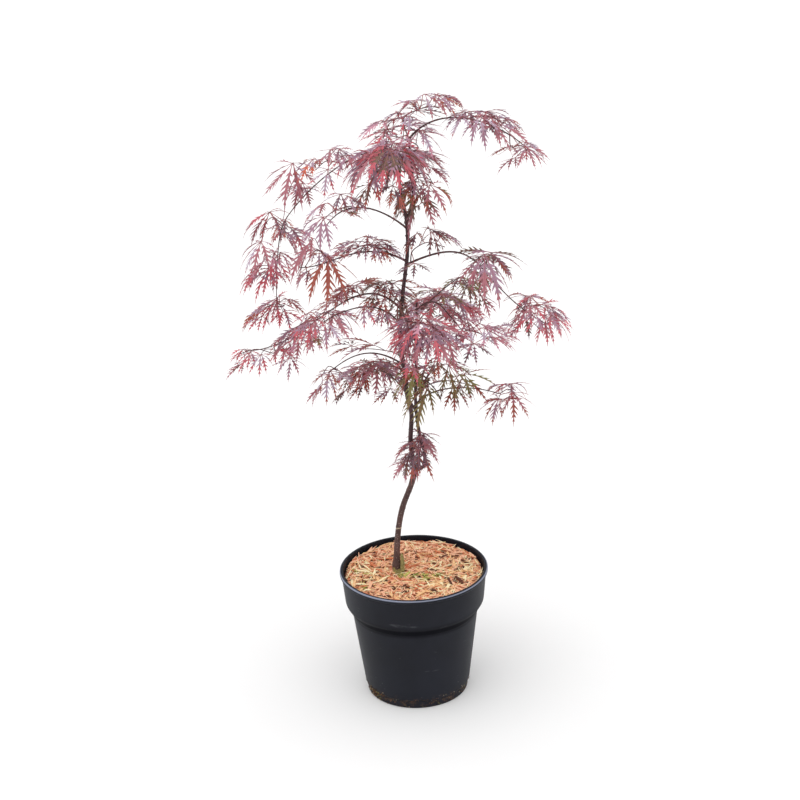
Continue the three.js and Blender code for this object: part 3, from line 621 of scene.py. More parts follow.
for name in ("leader", "right_stem", "right_fork_limb"):
    rng = rng_for(name)
    path, ts, radii, length = stem_parts(name)
    way = unit(path[1] - path[0])
    if name != "right_fork_limb":
        # the stem grows out of the trunk's top
        path = np.concatenate([[path[0] - way * 5, path[0] - way * 2.2], path])
        radii = np.concatenate([[radii[0] * 1.02, radii[0] * 1.08], radii])
    else:
        path = np.concatenate([[path[0] - way * 2.5], path])
        radii = np.concatenate([[radii[0]], radii])
    marks = np.arange(18, length, 27) + rng.uniform(-4, 4, len(np.arange(18, length, 27)))
    radii = radii + node_rings(path, marks, 0.24, 1.5) + node_rings(path, [0], 0.5, 5)
    stem_bag.add(*tube(path, radii, 18, stem_relief(rng, 0.09)))
    t_, u_, w_ = frames(path)
    d = np.concatenate([[0], np.cumsum(np.linalg.norm(np.diff(path, axis=0), axis=1))])
    for k, m in enumerate(marks):
        i = int(np.argmin(abs(d - m)))
        turn = k * math.pi / 2 + rng.uniform(-0.3, 0.3)
        for s in (0, math.pi):
            out = math.cos(turn + s) * u_[i] + math.sin(turn + s) * w_[i]
            bud(stem_bag, path[i] + out * radii[i] * 0.75, unit(out * 0.8 + t_[i]), rng.uniform(1.6, 2.4))

# ------------------------------------------------------------------ leaves
LEAF_PIECES = {"crown": Bag(), "upper": Bag(), "middle": Bag(), "lower": Bag(), "back": Bag()}
RIB_BAG, PETIOLE_BAG, TWIG_BAG, BUD_BAG = Bag(), Bag(), Bag(), Bag()
LEAF_COUNT = [0]

LOBES = {
    5: ([0, 36, -36, 80, -80], [1, 0.93, 0.93, 0.66, 0.66]),
    7: ([0, 31, -31, 64, -64, 104, -104], [1, 0.95, 0.95, 0.8, 0.8, 0.52, 0.52]),
    9: ([0, 28, -28, 58, -58, 92, -92, 134, -134], [1, 0.96, 0.96, 0.84, 0.84, 0.62, 0.62, 0.34, 0.34]),
}
BODY_AT = [0, 0.1, 0.2, 0.34, 0.5, 0.68, 0.8, 0.9, 1]
BODY_W = [0.008, 0.01, 0.018, 0.033, 0.033, 0.022, 0.0125, 0.008, 0]
TOOTH_AT = [0, 0.12, 0.3, 0.5, 0.75, 1]
TOOTH_L = [0.12, 0.185, 0.215, 0.2, 0.14, 0.07]


def lobe(bag, base, heading, elev, length, end_elev, curl, roll, fold, teeth, own, edge, rng):
    """One deeply toothed lobe: its rachis bends down from heading and elev to end_elev (radians)."""
    # each tooth stands on the outer part of its stretch of the rachis
    marks = 0.13 + 0.68 * np.linspace(0, 1, teeth + 1) ** 0.94
    s = np.concatenate([[0, 0.05, 0.1], np.sort(np.concatenate([marks, marks[:-1] + 0.46 * np.diff(marks)])), [0.89, 0.95, 1.0]])
    n = len(s)
    e = elev + (end_elev - elev) * s ** 1.2
    h = heading + curl * s + 0.06 * np.sin(9 * s + rng.uniform(0, 6.28))
    t = np.stack([np.cos(e) * np.cos(h), np.cos(e) * np.sin(h), np.sin(e)], 1)
    up = np.stack([-np.sin(e) * np.cos(h), -np.sin(e) * np.sin(h), np.cos(e)], 1)
    left = np.cross(up, t)
    c, d = math.cos(roll), math.sin(roll)
    left, up = left * c + up * d, up * c - left * d
    steps = (t[1:] + t[:-1]) / 2 * np.diff(s)[:, None] * length
    P = base + np.concatenate([[[0, 0, 0]], np.cumsum(steps, 0)])
    w = length * np.interp(s, BODY_AT, BODY_W) * rng.uniform(0.8, 1.25)
    verts = [P]
    tris, slots = [], []
    offs = n
    turn_at = int(rng.integers(1, teeth))  # the tooth from which the tips' tint takes over
    wide = rng.uniform(0.85, 1.12)
    for side in (1, -1):
        l = side * left * math.cos(fold) + up * math.sin(fold)
        E = P[:-1] + l[:-1] * w[:-1, None]
        verts.append(E)
        e0 = offs
        offs += n - 1
        i = np.arange(n - 2)
        body = np.concatenate([
            np.stack([i, i + 1, e0 + i + 1], 1),
            np.stack([i, e0 + i + 1, e0 + i], 1),
            [[n - 2, n - 1, e0 + n - 2]],
        ])
        tail = np.where(i < 3 + 2 * turn_at, own, edge)
        body_slots = np.concatenate([tail, tail, [edge]])
        # teeth: lance-shaped, pointing forward, each with a smaller one on its outer edge
        k = np.arange(teeth)
        i0, i1 = 4 + 2 * k, 5 + 2 * k
        size = length * wide * np.interp(k / (teeth - 1), TOOTH_AT, TOOTH_L) * rng.uniform(0.8, 1.18, teeth)
        ang = np.radians(np.linspace(38, 22, teeth) + rng.uniform(-6, 6, teeth))
        tt, ll, uu = t[i0], l[i0], up[i0]
        way = tt * np.cos(ang)[:, None] + ll * np.sin(ang)[:, None] - uu * rng.uniform(-0.02, 0.24, teeth)[:, None]
        E0, E1 = E[i0], E[i1]
        T = E0 * 0.65 + E1 * 0.35 + way * size[:, None]
        inner = E1 + (T - E1) * 0.48 - ll * size[:, None] * 0.01
        outer = E0 + (T - E0) * 0.46 + ll * size[:, None] * 0.055
        small = outer + (tt * 0.93 + ll * 0.5) * size[:, None] * rng.uniform(0.12, 0.26, teeth)[:, None]
        verts += [inner, outer, T, small]
        a, b_, c_, s_ = (offs + teeth * q + k for q in range(4))
        offs += 4 * teeth
        blades = np.concatenate([
            np.stack([e0 + i0, e0 + i1, a], 1),
            np.stack([e0 + i0, a, b_], 1),
            np.stack([b_, a, c_], 1),
            np.stack([e0 + i0, b_, s_], 1),
        ])
        tip = np.where(k < turn_at, own, edge)
        blade_slots = np.concatenate([tip, tip, np.where(k < turn_at - 1, own, edge), tip])
        both = np.concatenate([body, blades])
        if side < 0:
            both = both[:, ::-1]
        tris.append(both)
        slots.append(np.concatenate([body_slots, blade_slots]))
    bag.add(np.concatenate(verts), np.concatenate(tris), np.concatenate(slots))
    # raised rib along the rachis
    keep = np.linspace(0, n - 2, 8).round().astype(int)
    RIB_BAG.add(*tube(P[keep] + up[keep] * 0.08, np.linspace(0.42, 0.13, len(keep)), 3))


def dealt(palette, rng):
    """A leaf's tints: its tips' and one for each lobe, most of which are the leaf's own."""
    own, edge = TINT_NAMES.index(deal(rng, palette[0])), TINT_NAMES.index(deal(rng, palette[1]))
    other = [TINT_NAMES.index(deal(rng, palette[0])) for _ in range(9)]
    return edge, np.where(rng.random(9) < 0.22, other, own)


def leaf(bag, at, heading, pitch, roll, size, tints, rng, slope=62.0):
    """A palmate leaf of cut lobes that spread from its stalk's end and hang like an umbrella."""
    LEAF_COUNT[0] += 1
    angles, lengths = LOBES[[5, 7, 7, 7, 9][rng.integers(5)]]
    O = np.array([math.cos(heading) * math.cos(pitch), math.sin(heading) * math.cos(pitch), math.sin(pitch)])
    flat = np.array([-math.sin(heading), math.cos(heading), 0])
    up = np.cross(O, flat)
    S = flat * math.cos(roll) + up * math.sin(roll)
    for a, share, body in zip(angles, lengths, tints[1]):
        a = math.radians(a + rng.uniform(-7, 7))
        d = O * math.cos(a) + S * math.sin(a)
        h, e = math.atan2(d[1], d[0]), math.asin(max(-0.99, min(0.99, d[2])))
        long = size * share * rng.uniform(0.9, 1.08)
        # the lobes at the sides and back hang less than the one in front
        end = max(-math.radians((0.62 + 0.38 * max(math.cos(a), -0.3)) * slope + rng.normal(0, 13)), -1.5)
        lobe(
            bag, at, h, e + rng.normal(0, 0.13), long, end, rng.uniform(-0.28, 0.28), rng.uniform(-0.4, 0.4) - 0.15 * math.sin(a),
            rng.uniform(0.1, 0.4), 4 if long < 36 else 5 if long < 52 else 6, body, tints[0], rng,
        )
    return O


def petiole(start, end, way, up_pull, rng, slot):
    d = np.linalg.norm(end - start)
    out = unit((end - start) * [1, 1, 0] + [0, 0, up_pull * d])
    p = [start, start + out * d * 0.4, end - way * d * 0.25, end]
    t = np.linspace(0, 1, 8)
    PETIOLE_BAG.add(*tube(bezier(p, t), np.linspace(0.55, 0.4, 8), 5), slot)


def leaf_to(bag, node, at, heading, size, tints, rng, slope=62.0, pitch=-9.0):
    """A leaf at a place, on its stalk from a node."""
    pitch = math.radians(pitch + rng.uniform(-10, 10))
    way = leaf(bag, at, heading + rng.uniform(-0.2, 0.2), pitch, rng.uniform(-0.3, 0.3), size, tints, rng, slope)
    petiole(node, at, way, 0.6, rng, int(rng.random() < 0.45))


def leaf_on(bag, node, heading, stalk, rise, size, palette, rng, slope=62.0):
    """A leaf on its stalk from a node. rise is how far its stalk's end is above the node."""
    at = node + np.array([math.cos(heading) * stalk, math.sin(heading) * stalk, rise])
    leaf_to(bag, node, at, heading, size, dealt(palette, rng), rng, slope)


def twig(points, r0, r1, rng):
    sample = lambda t: spline(points, t)
    path, ts, length = even_path(sample, 2.5)
    radii = lerp(r0, r1, ts)
    marks = np.arange(9, length, 14)
    radii = radii + node_rings(path, marks, 0.12, 1.0) if len(marks) else radii
    TWIG_BAG.add(*tube(path, radii, 7))
    return path


def piece_of(name):
    if "back" in name:
        return LEAF_PIECES["back"]
    for key, words in (("crown", ("crown", "arch", "shoulder")), ("upper", ("high", "upper")), ("lower", ("low", "foot"))):
        if any(w in name for w in words):
            return LEAF_PIECES[key]
    return LEAF_PIECES["middle"]


def grow_pad(name, pad, kind=0, hue=0):
    on, at, side, lift, long, wide, hang, turn, end, palette_name = pad
    rng, hues = rng_for(name, kind), rng_for(name, "hue", hue)
    bag, palette = piece_of(name), PALETTES[palette_name]
    grown = []
    az = math.radians(BOUGHS[on]["az"])
    t = min(at, 1)
    c = bough_point(on, t)
    d = bough_way(on, t)
    slope = math.degrees(math.atan2(-d[2], max(math.hypot(d[0], d[1]), 1e-6)))
    lean = math.tan(math.radians(min(max(slope, -25), 35) * 0.5))
    past = max(at - 1, 0) * 60
    c = c + [math.cos(az) * past - math.sin(az) * side, math.sin(az) * past + math.cos(az) * side, lift]
    way = az + math.radians(turn)
    X, Y = np.array([math.cos(way), math.sin(way)]), np.array([-math.sin(way), math.cos(way)])

    def top(x, y):
        ring2 = (x / (long / 2)) ** 2 + (y / (wide / 2)) ** 2
        return np.array([*(c[:2] + X * x + Y * y), c[2] - hang * ring2 - lean * x])

    def rim(theta):
        return 1 / math.hypot(math.cos(theta) / (long / 2), math.sin(theta) / (wide / 2))

    under = min(max(0.5 * lift, 6), 22)

    def put_leaf(x, y, layer):
        """A leaf whose lobes spread from a place over the mass, on a long stalk from the twigs below. layer 1 hangs under layer 0."""
        ring = math.hypot(x / (long / 2), y / (wide / 2))
        # it heads away from the middle, swept a little along the bough
        theta = math.atan2(y / max(ring, 0.1) + OUTWARD * wide / 2 * math.sin(-math.radians(turn)), x / max(ring, 0.1) + OUTWARD * long / 2 * math.cos(math.radians(turn)))
        theta += rng.normal(0, 0.45 + 0.9 * max(0.25 - ring, 0))
        at = top(x, y)
        at[2] += 2 - rng.uniform(0, 0.16 * hang + 6) - layer * (6 + 0.3 * hang)
        reach = rim(theta)
        room = max(reach - max(x * math.cos(theta) + y * math.sin(theta), 0), 20)
        low = top(reach * math.cos(theta), reach * math.sin(theta))[2] - 0.1 * hang - 6 - 9 * layer
        drop = max(at[2] - low, 6)
        size = min(max(1.06 * math.hypot(room, drop), 37), 68) * SMALLER.get(name, 1) * rng.uniform(0.9, 1.08)
        # the lobes start and end at the slopes that bring their tips to the edge of the mass
        mean = math.degrees(math.atan2(drop, room))
        last = min(max(mean + 17 + rng.normal(0, 8), 24), 80)
        first = min(max(mean - 17 + rng.normal(0, 8), -14), 45)
        tints = dealt(SHADED if layer and hues.random() < 0.6 else palette, hues)
        near = np.concatenate(spines)
        back = at - [math.cos(way + theta) * 12, math.sin(way + theta) * 12, 0.7 * under]
        node = near[int(np.argmin(np.linalg.norm(near - back, axis=1)))]
        gap = np.linalg.norm(at - node)
        if gap > 42:
            aim = node + (at - node) * (1 - 28 / gap)
            aim[2] = min(aim[2], at[2] - 3)
            mid = (node + aim) / 2 + [0, 0, 0.08 * gap]
            side_twig = twig([node, mid, aim], 0.62, 0.45, rng)
            spines.append(side_twig[len(side_twig) // 2:])
            bud(BUD_BAG, aim, unit(side_twig[-1] - side_twig[-2]), 1.8)
            node = side_twig[-1]
        grown.append(layer)
        leaf_to(bag, node, at, way + theta, size, tints, rng_for(name, kind, "leaf", len(grown)), last, -first)

    # the spine: a side twig that leaves the bough and runs along under the mass
    spans = [(-0.24, 0.26)]
    if turn >= 45:
        spans = [(0.03, 0.28), (-0.03, -0.28)]
    spines = []
    for a0, a1 in spans:
        inner, middle, outer = (top(q * long, 0) - [0, 0, under] for q in (a0, (a0 + a1) / 2, a1))
        if turn >= 45:
            root = bough_point(on, max(t - 0.12, 0.02))
            points = [root, top(0, 0) - [0, 0, under + 3], middle, outer]
        else:
            foot = inner - [X[0] * 10, X[1] * 10, 0.7 * max(lift - under, 0)]
            best = min(np.linspace(0, 1, 60), key=lambda q: np.linalg.norm(bough_point(on, q) - foot))
            points = [bough_point(on, best), inner, middle, outer]
        points = [p for q, p in enumerate(points) if q == 0 or np.linalg.norm(p - points[q - 1]) > 3]
        path = twig(points, 0.8 if lift > 22 else 0.7, 0.45, rng)
        spines.append(path[len(path) // 4:])
        bud(BUD_BAG, path[-1], unit(path[-1] - path[-3]), 2.2)
    for layer, share, spread in ((0, 1.0, 0.6), (1, LOWER.get(name, 0.45 if hang >= 36 else 0.15), 0.75)):
        placed = []
        for _ in range(int(round(share * MORE.get(name, 1) * long * wide / LEAF_AREA))):
            best, far = None, -1
            for _ in range(14):
                r, q = math.sqrt(rng.random()) * spread, rng.uniform(0, 2 * math.pi)
                x, y = r * math.cos(q) * long / 2, r * math.sin(q) * wide / 2
                d = min((math.hypot(x - u, y - v) for u, v in placed), default=1e3)
                if d > far:
                    best, far = (x, y), d
            placed.append(best)
            put_leaf(*best, layer)


LEAF_AREA = 1150.0  # of a mass's length times width, for each leaf
OUTWARD = 0.45  # how far the leaves are swept along the bough
SMALLER = {"leaves_foot_sprig": 0.88}  # young leaves
# which of a mass's arrangements is grown, and which deal of tints
SEEDS = {
    "leaves_crown_top": (238, 494),
    "leaves_crown_left": (459, 621),
    "leaves_arch_right": (593, 841),
    "leaves_arch_right_tip": (515, 615),
    "leaves_crown_front": (451, 737),
    "leaves_crown_front_low": (505, 737),
    "leaves_left_shoulder": (497, 761),
    "leaves_high_left": (991, 233),
    "leaves_high_left_bend": (825, 272),
    "leaves_high_left_hang": (421, 798),
    "leaves_high_left_tip": (899, 666),
    "leaves_upper_left": (942, 558),
    "leaves_mid_left_inner": (341, 725),
    "leaves_mid_left": (14, 63),
    "leaves_long_left_inner": (804, 472),
    "leaves_long_left_mid": (832, 114),
    "leaves_long_left_outer": (439, 394),
    "leaves_long_left_tip": (348, 651),
    "leaves_left_front": (275, 766),
    "leaves_low_left": (369, 643),
    "leaves_low_left_inner": (902, 155),
    "leaves_mid_right_inner": (436, 931),
    "leaves_mid_right": (330, 358),
    "leaves_mid_right_tip": (418, 214),
    "leaves_right_back": (30, 0),
    "leaves_mid_front": (135, 602),
    "leaves_right_front": (646, 157),
    "leaves_low_front": (339, 658),
    "leaves_low_right_inner": (230, 712),
    "leaves_low_right_tip": (540, 509),
    "leaves_foot_sprig": (851, 406),
    "leaves_high_back": (896, 0),
    "leaves_mid_back": (998, 0),
    "leaves_low_back": (989, 0),
}
# a mass's share of leaves, where it is denser or more open than the rest
MORE = {
    "leaves_crown_top": 0.85,
    "leaves_crown_left": 0.85,
    "leaves_arch_right": 0.95,
    "leaves_arch_right_tip": 1.22,
    "leaves_crown_front": 1.33,
    "leaves_crown_front_low": 1.1,
    "leaves_left_shoulder": 0.88,
    "leaves_high_left": 0.61,
    "leaves_high_left_bend": 0.58,
    "leaves_high_left_hang": 1.27,
    "leaves_high_left_tip": 1.09,
    "leaves_upper_left": 0.63,
    "leaves_mid_left_inner": 1.37,
    "leaves_mid_left": 0.54,
    "leaves_long_left_inner": 2.03,
    "leaves_long_left_mid": 1.43,
    "leaves_long_left_outer": 1.14,
    "leaves_long_left_tip": 0.67,
    "leaves_left_front": 1.54,
    "leaves_low_left": 1.02,
    "leaves_low_left_inner": 0.51,
    "leaves_mid_right_inner": 0.84,
    "leaves_mid_right": 1.27,
    "leaves_mid_right_tip": 1.23,
    "leaves_right_back": 1.29,
    "leaves_mid_front": 1.59,
    "leaves_right_front": 1.21,
    "leaves_low_front": 0.67,
    "leaves_low_right_inner": 0.5,
    "leaves_low_right_tip": 1.28,
    "leaves_foot_sprig": 2.6,
}
LOWER = {"leaves_foot_sprig": 0.0}
SHADED = ({"plum": 4, "brown": 4, "maroon": 2, "mauve": 2, "olive": 1}, {"red_brown": 3, "plum": 2, "dusky": 2})

for name, pad in PADS.items():
    grow_pad(name, pad, *SEEDS.get(name, (0, 0)))

# small leaf pairs on the bare stretches of the boughs
PAD_CENTRES = {}
for name, b in BOUGHS.items():
    rng = rng_for("bare", name)
    taken = [(p[1] - 0.5 * p[4] / math.hypot(b["reach"], b["rise"]), p[1] + 0.5 * p[4] / math.hypot(b["reach"], b["rise"])) for p in PADS.values() if p[0] == name]
    path, ts, length = even_path(lambda t: bezier(CURVES[name], t), STEP)
    marks = np.arange(14, length - 4, 24.0)
    marks = marks + rng.uniform(-4, 4, len(marks))
    r0, r1 = b.get("r0", BOUGH_R0), b.get("r1", BOUGH_R1)
    radii = lerp(r0, r1, ts) * np.interp(ts, [0, 0.12, 0.45, 1], [1.0, 0.88, 0.78, 0.8])
    way = unit(path[1] - path[0])
    path2 = np.concatenate([[path[0] - way * 1.8], path])
    radii2 = np.concatenate([[radii[0]], radii])
    radii2 = radii2 + node_rings(path2, marks + 1.8, 0.22, 1.2) + node_rings(path2, [0], 0.55, 4)
    bough_bag.add(*tube(path2, radii2, 12, stem_relief(rng, 0.05)))
    d = np.concatenate([[0], np.cumsum(np.linalg.norm(np.diff(path, axis=0), axis=1))])
    palette = PALETTES[next((p[9] for p in PADS.values() if p[0] == name), "rose")]
    for k, m in enumerate(marks):
        i = int(np.argmin(abs(d - m)))
        f = ts[i]
        way = bough_way(name, f)
        heading = math.atan2(way[1], way[0])
        covered = any(lo < f < hi for lo, hi in taken)
        for s in (1, -1):
            if not covered and rng.random() < 0.3 and m > 22:
                leaf_on(piece_of(name.replace("bough", "leaves")), path[i], heading + s * math.radians(rng.uniform(50, 85)), rng.uniform(9, 14), rng.uniform(1, 6), rng.uniform(30, 40), palette, rng, 62)
            else:
                side = np.array([-math.sin(heading), math.cos(heading), 0]) * s
                bud(BUD_BAG, path[i] + side * radii[i] * 0.8, unit(way + side * 0.7 + [0, 0, 0.3]), rng.uniform(1.3, 1.9))

trunk_bag.piece("trunk_bark_relief", [TRUNK_BARK, MOSSY, NODE_RING], "trunk_bark", nodes=["trunk"])
stem_bag.piece("stems_bark_relief", [YOUNG_BARK], "young_bark", nodes=["leader", "right_stem", "right_fork_limb"])
bough_bag.piece("boughs_bark_relief", [BOUGH_BARK], "young_bark", nodes=list(BOUGHS))
TWIG_BAG.piece("twigs", [TWIG], "young_bark")
BUD_BAG.piece("buds", [stalk_material("bud_scales", (96, 34, 40), (150, 66, 62))], "young_bark")
PETIOLE_BAG.piece("leafstalks", PETIOLE, "foliage")
RIB_BAG.piece("leaf_ribs", RIBS, "foliage", smooth=True)
for key, bag in LEAF_PIECES.items():
    nodes = [n for n in PADS if piece_of(n) is bag]
    bag.piece("leaves_" + key + "_cut", LEAF_MATERIALS, "foliage", smooth=False, nodes=nodes)

# ------------------------------------------------------------------ pot
POT_SEGMENTS = 160


def rounded(points):
    """A profile from (r, z, corner radius), each corner rounded by a few points."""
    out = []
    n = len(points)
    for i, (r, z, c) in enumerate(points):
        p = np.array([r, z], float)
        if c <= 0 or i in (0, n - 1):
            out.append(p)
            continue
        a, b = np.array(points[i - 1][:2]) - p, np.array(points[i + 1][:2]) - p
        la, lb = np.linalg.norm(a), np.linalg.norm(b)
        c = min(c, la * 0.45, lb * 0.45)
        a, b = a / la * c, b / lb * c
        for t in np.linspace(0, 1, 5):
            out.append(p + a * (1 - t) ** 2 + b * t ** 2)
    return np.array(out)


wall_top = COLLAR_TOP_R - WALL
outline = rounded([
    (0, 0, 0),
    (FOOT_R - 6, 0, 0),
    (FOOT_R, 0, 1.5),
    (FOOT_R, FOOT_H - 1, 0.9),
    (BODY_FOOT_R - 0.2, FOOT_H + 0.6, 1.0),
    (BODY_TOP_R, CHAMFER_FOOT, 1.6),
    (COLLAR_FOOT_R, COLLAR_FOOT, 2.4),
    (COLLAR_TOP_R, LIP_FOOT - 1.2, 1.0),
    (RIM_R, LIP_FOOT + 0.2, 1.4),
    (RIM_R, POT_H, 2.0),
    (wall_top, POT_H, 1.1),
    (wall_top, LIP_FOOT - 1.5, 2.0),
    (COLLAR_FOOT_R - WALL, COLLAR_FOOT + 1, 3.0),
    (BODY_TOP_R - WALL, CHAMFER_FOOT + 1, 3.0),
    (BODY_FOOT_R - WALL, FOOT_H + 1, 1.5),
    (FOOT_R - WALL, FOOT_H - 1, 1.0),
    (FOOT_R - WALL - 1, FLOOR, 1.0),
    (0, FLOOR, 0),
])


def turned(profile, segments, shape=None):
    """A closed turned body from a profile that starts and ends on the axis."""
    inner = profile[1:-1]
    a = np.arange(segments) * 2 * math.pi / segments
    r = np.repeat(inner[:, 0:1], segments, 1)
    z = np.repeat(inner[:, 1:2], segments, 1)
    if shape is not None:
        r, z = shape(r, z, a[None, :])
    verts = np.stack([r * np.cos(a), r * np.sin(a), z], -1).reshape(-1, 3)
    m = len(inner)
    i, k = np.meshgrid(np.arange(m - 1), np.arange(segments), indexing="ij")
    p, q = (i * segments + k).ravel(), (i * segments + (k + 1) % segments).ravel()
    tris = np.concatenate([np.stack([p, q, q + segments], 1), np.stack([p, q + segments, p + segments], 1)])
    verts = np.concatenate([verts, [[0, 0, profile[0][1]], [0, 0, profile[-1][1]]]])
    k = np.arange(segments)
    j = (k + 1) % segments
    lo, hi = len(verts) - 2, len(verts) - 1
    last = (m - 1) * segments
    tris = np.concatenate([tris, np.stack([np.full(segments, lo), j, k], 1), np.stack([np.full(segments, hi), last + k, last + j], 1)])
    return verts, tris


def pot_shape(r, z, a):
    # moulded thin plastic is never quite round
    give = 0.25 * np.sin(2 * a + 0.6) + 0.15 * np.sin(3 * a + 2.1)
    return r + give * np.clip((z - 20) / 120, 0, 1) * (r > 20), z


pot_bag = Bag()
pot_bag.add(*turned(outline, POT_SEGMENTS, pot_shape))
pot = pot_bag.piece("pot_fine", [pot_material()], "pot", nodes=["pot"])

# soil crumbs that stick to the foot band, most at the front left
rng = rng_for("crumbs")
crumbs = Bag()
for _ in range(520):
    a = rng.uniform(0, 2 * math.pi)
    if rng.random() < 0.3:
        a = rng.normal(math.radians(212), math.radians(9))
    z = rng.uniform(0.8, FOOT_H + 1.5) if rng.random() < 0.85 else rng.uniform(FOOT_H, FOOT_H + 5)
    out = np.interp(z, [0, FOOT_H - 1, FOOT_H + 1, FOOT_H + 6], [FOOT_R, FOOT_R, BODY_FOOT_R, BODY_FOOT_R + 0.6])
    size = rng.uniform(0.35, 0.9) * (1.7 if abs(a - math.radians(212)) < 0.25 and rng.random() < 0.5 else 1)
    size = min(size, max(z - 0.15, 0.3))
    way = rng.normal(size=(6, 3))
    corner = np.array([(1, 0, 0), (-1, 0, 0), (0, 1, 0), (0, -1, 0), (0, 0, 1), (0, 0, -1)]) * size * rng.uniform(0.7, 1.2, (6, 1)) + way * size * 0.12
    at = np.array([math.cos(a) * (out + size * 0.15), math.sin(a) * (out + size * 0.15), z])
    crumbs.add(corner + at, [(0, 2, 4), (2, 1, 4), (1, 3, 4), (3, 0, 4), (2, 0, 5), (1, 2, 5), (3, 1, 5), (0, 3, 5)], int(rng.choice(4, p=[0.45, 0.3, 0.15, 0.1])))
crumbs.piece("foot_crumbs", [
    mulch_material("crumb_dark", (44, 32, 26), (84, 62, 48)), mulch_material("crumb_brown", (92, 64, 46), (140, 100, 72)),
    mulch_material("crumb_olive", (92, 92, 56), (132, 130, 84)), mulch_material("crumb_pale", (150, 134, 110), (200, 186, 160)),
], "mulch", smooth=False)

# ------------------------------------------------------------------ mulch
rng = rng_for("mulch")
MULCH_WAVES = waves_for(rng, 7, 0.12, 0.42)


def mulch_height(x, y):
    r = np.hypot(x, y)
    mound = np.interp(r, [0, 44, 68, 89], [1, 1, 0.45, 0])
    back = FILL_BACK * np.clip((y - 8) / 62, 0, 1)
    return lerp(FILL_RIM_Z, FILL_MID_Z, mound) + back + 0.9 * ripple(x, y, 0 * x, MULCH_WAVES) * np.interp(r, [0, 16, 30], [0.3, 0.6, 1]) - 0.5


edge_r = wall_top - 0.9
fill_profile = np.array(
    [(0, FLOOR + 0.35), (FOOT_R - WALL - 1.4, FLOOR + 0.35), (FOOT_R - WALL - 0.5, FOOT_H - 1), (BODY_FOOT_R - WALL - 0.5, FOOT_H + 1.5),
     (BODY_TOP_R - WALL - 0.5, CHAMFER_FOOT + 1.5), (COLLAR_FOOT_R - WALL - 0.5, COLLAR_FOOT + 1.5)]
    + [(edge_r * (1 - k / 34), 159.0) for k in range(34)] + [(0, FILL_MID_Z - 0.5)]
)


def fill_shape(r, z, a):
    on_top = z > 158.9
    x, y = r * np.cos(a), r * np.sin(a)
    return r, np.where(on_top, mulch_height(x, y), z)


MULCH_TINTS = {
    "salmon": ((230, 150, 114), (255, 218, 182)),
    "rust": ((180, 96, 64), (236, 152, 110)),
    "straw": ((246, 216, 156), (255, 248, 214)),
    "tan": ((226, 172, 122), (255, 214, 162)),
    "dark": ((66, 38, 30), (116, 70, 54)),
    "moss": ((164, 160, 78), (218, 212, 128)),
    "green": ((84, 102, 42), (138, 148, 70)),
}
MULCH_MATERIALS = [mulch_material("mulch_" + n, *c) for n, c in MULCH_TINTS.items()]
MULCH_NAMES = list(MULCH_TINTS)
bed = Bag()
bed.add(*turned(fill_profile, 96, fill_shape))
bed.piece("mulch_bed", [mulch_material("mulch_base", (100, 58, 44), (164, 106, 84))], "mulch", nodes=["mulch"])


def shred(x, y, z, heading, length, width, thick, tilt, bow, rng):
    """A torn strip of bark: flat, bowed, with ragged ends."""
    n = 6
    s = np.linspace(-0.5, 0.5, n)
    w = width * np.array([0.25, 0.8, 1, 0.95, 0.7, 0.2]) * rng.uniform(0.75, 1.2, n)
    th = thick * np.array([0.4, 0.9, 1, 1, 0.8, 0.35])
    skew = rng.uniform(-0.25, 0.25) * width
    mid = np.stack([s * length, skew * np.sin(3 * s + rng.uniform(0, 3)), bow * (0.25 - s * s) * 4 + tilt * s * length], 1)
    pts = []
    for k, (a, b) in enumerate(((1, 0.5), (-1, 0.5), (-1, -0.5), (1, -0.5))):
        j = rng.uniform(-0.08, 0.08, n) * length if k < 2 else 0
        pts.append(mid + np.stack([np.zeros(n) + j * (np.abs(s) > 0.4), a * w / 2, b * th], 1))
    v = np.stack(pts, 1).reshape(-1, 3)
    c, d = math.cos(heading), math.sin(heading)
    v = np.stack([x + v[:, 0] * c - v[:, 1] * d, y + v[:, 0] * d + v[:, 1] * c, z + v[:, 2]], 1)
    i, k = np.meshgrid(np.arange(n - 1), np.arange(4), indexing="ij")
    p, q = (i * 4 + k).ravel(), (i * 4 + (k + 1) % 4).ravel()
    e = (n - 1) * 4
    t = np.concatenate([np.stack([p, q, q + 4], 1), np.stack([p, q + 4, p + 4], 1), [[0, 2, 1], [0, 3, 2], [e, e + 1, e + 2], [e, e + 2, e + 3]]])
    return v, t[:, ::-1]


def straw_share(x, y):
    """How much straw shows at a place: more to the left and right of the middle, less at the back."""
    right = math.exp(-(((x - 52) / 30) ** 2 + ((y - 4) / 34) ** 2))
    left = math.exp(-(((x + 58) / 26) ** 2 + ((y + 8) / 34) ** 2))
    front = 0.35 * math.exp(-(((x - 18) / 30) ** 2 + ((y + 45) / 26) ** 2))
    return 0.12 + 0.5 * right + 0.42 * left + front


def moss_share(x, y):
    return 0.95 * math.exp(-(((x - 14) / 27) ** 2 + ((y + 17) / 9) ** 2)) + 0.6 * math.exp(-(((x + 20) / 10) ** 2 + ((y + 9) / 7) ** 2)) + 0.25 * math.exp(-(((x + 62) / 16) ** 2 + ((y + 20) / 18) ** 2))


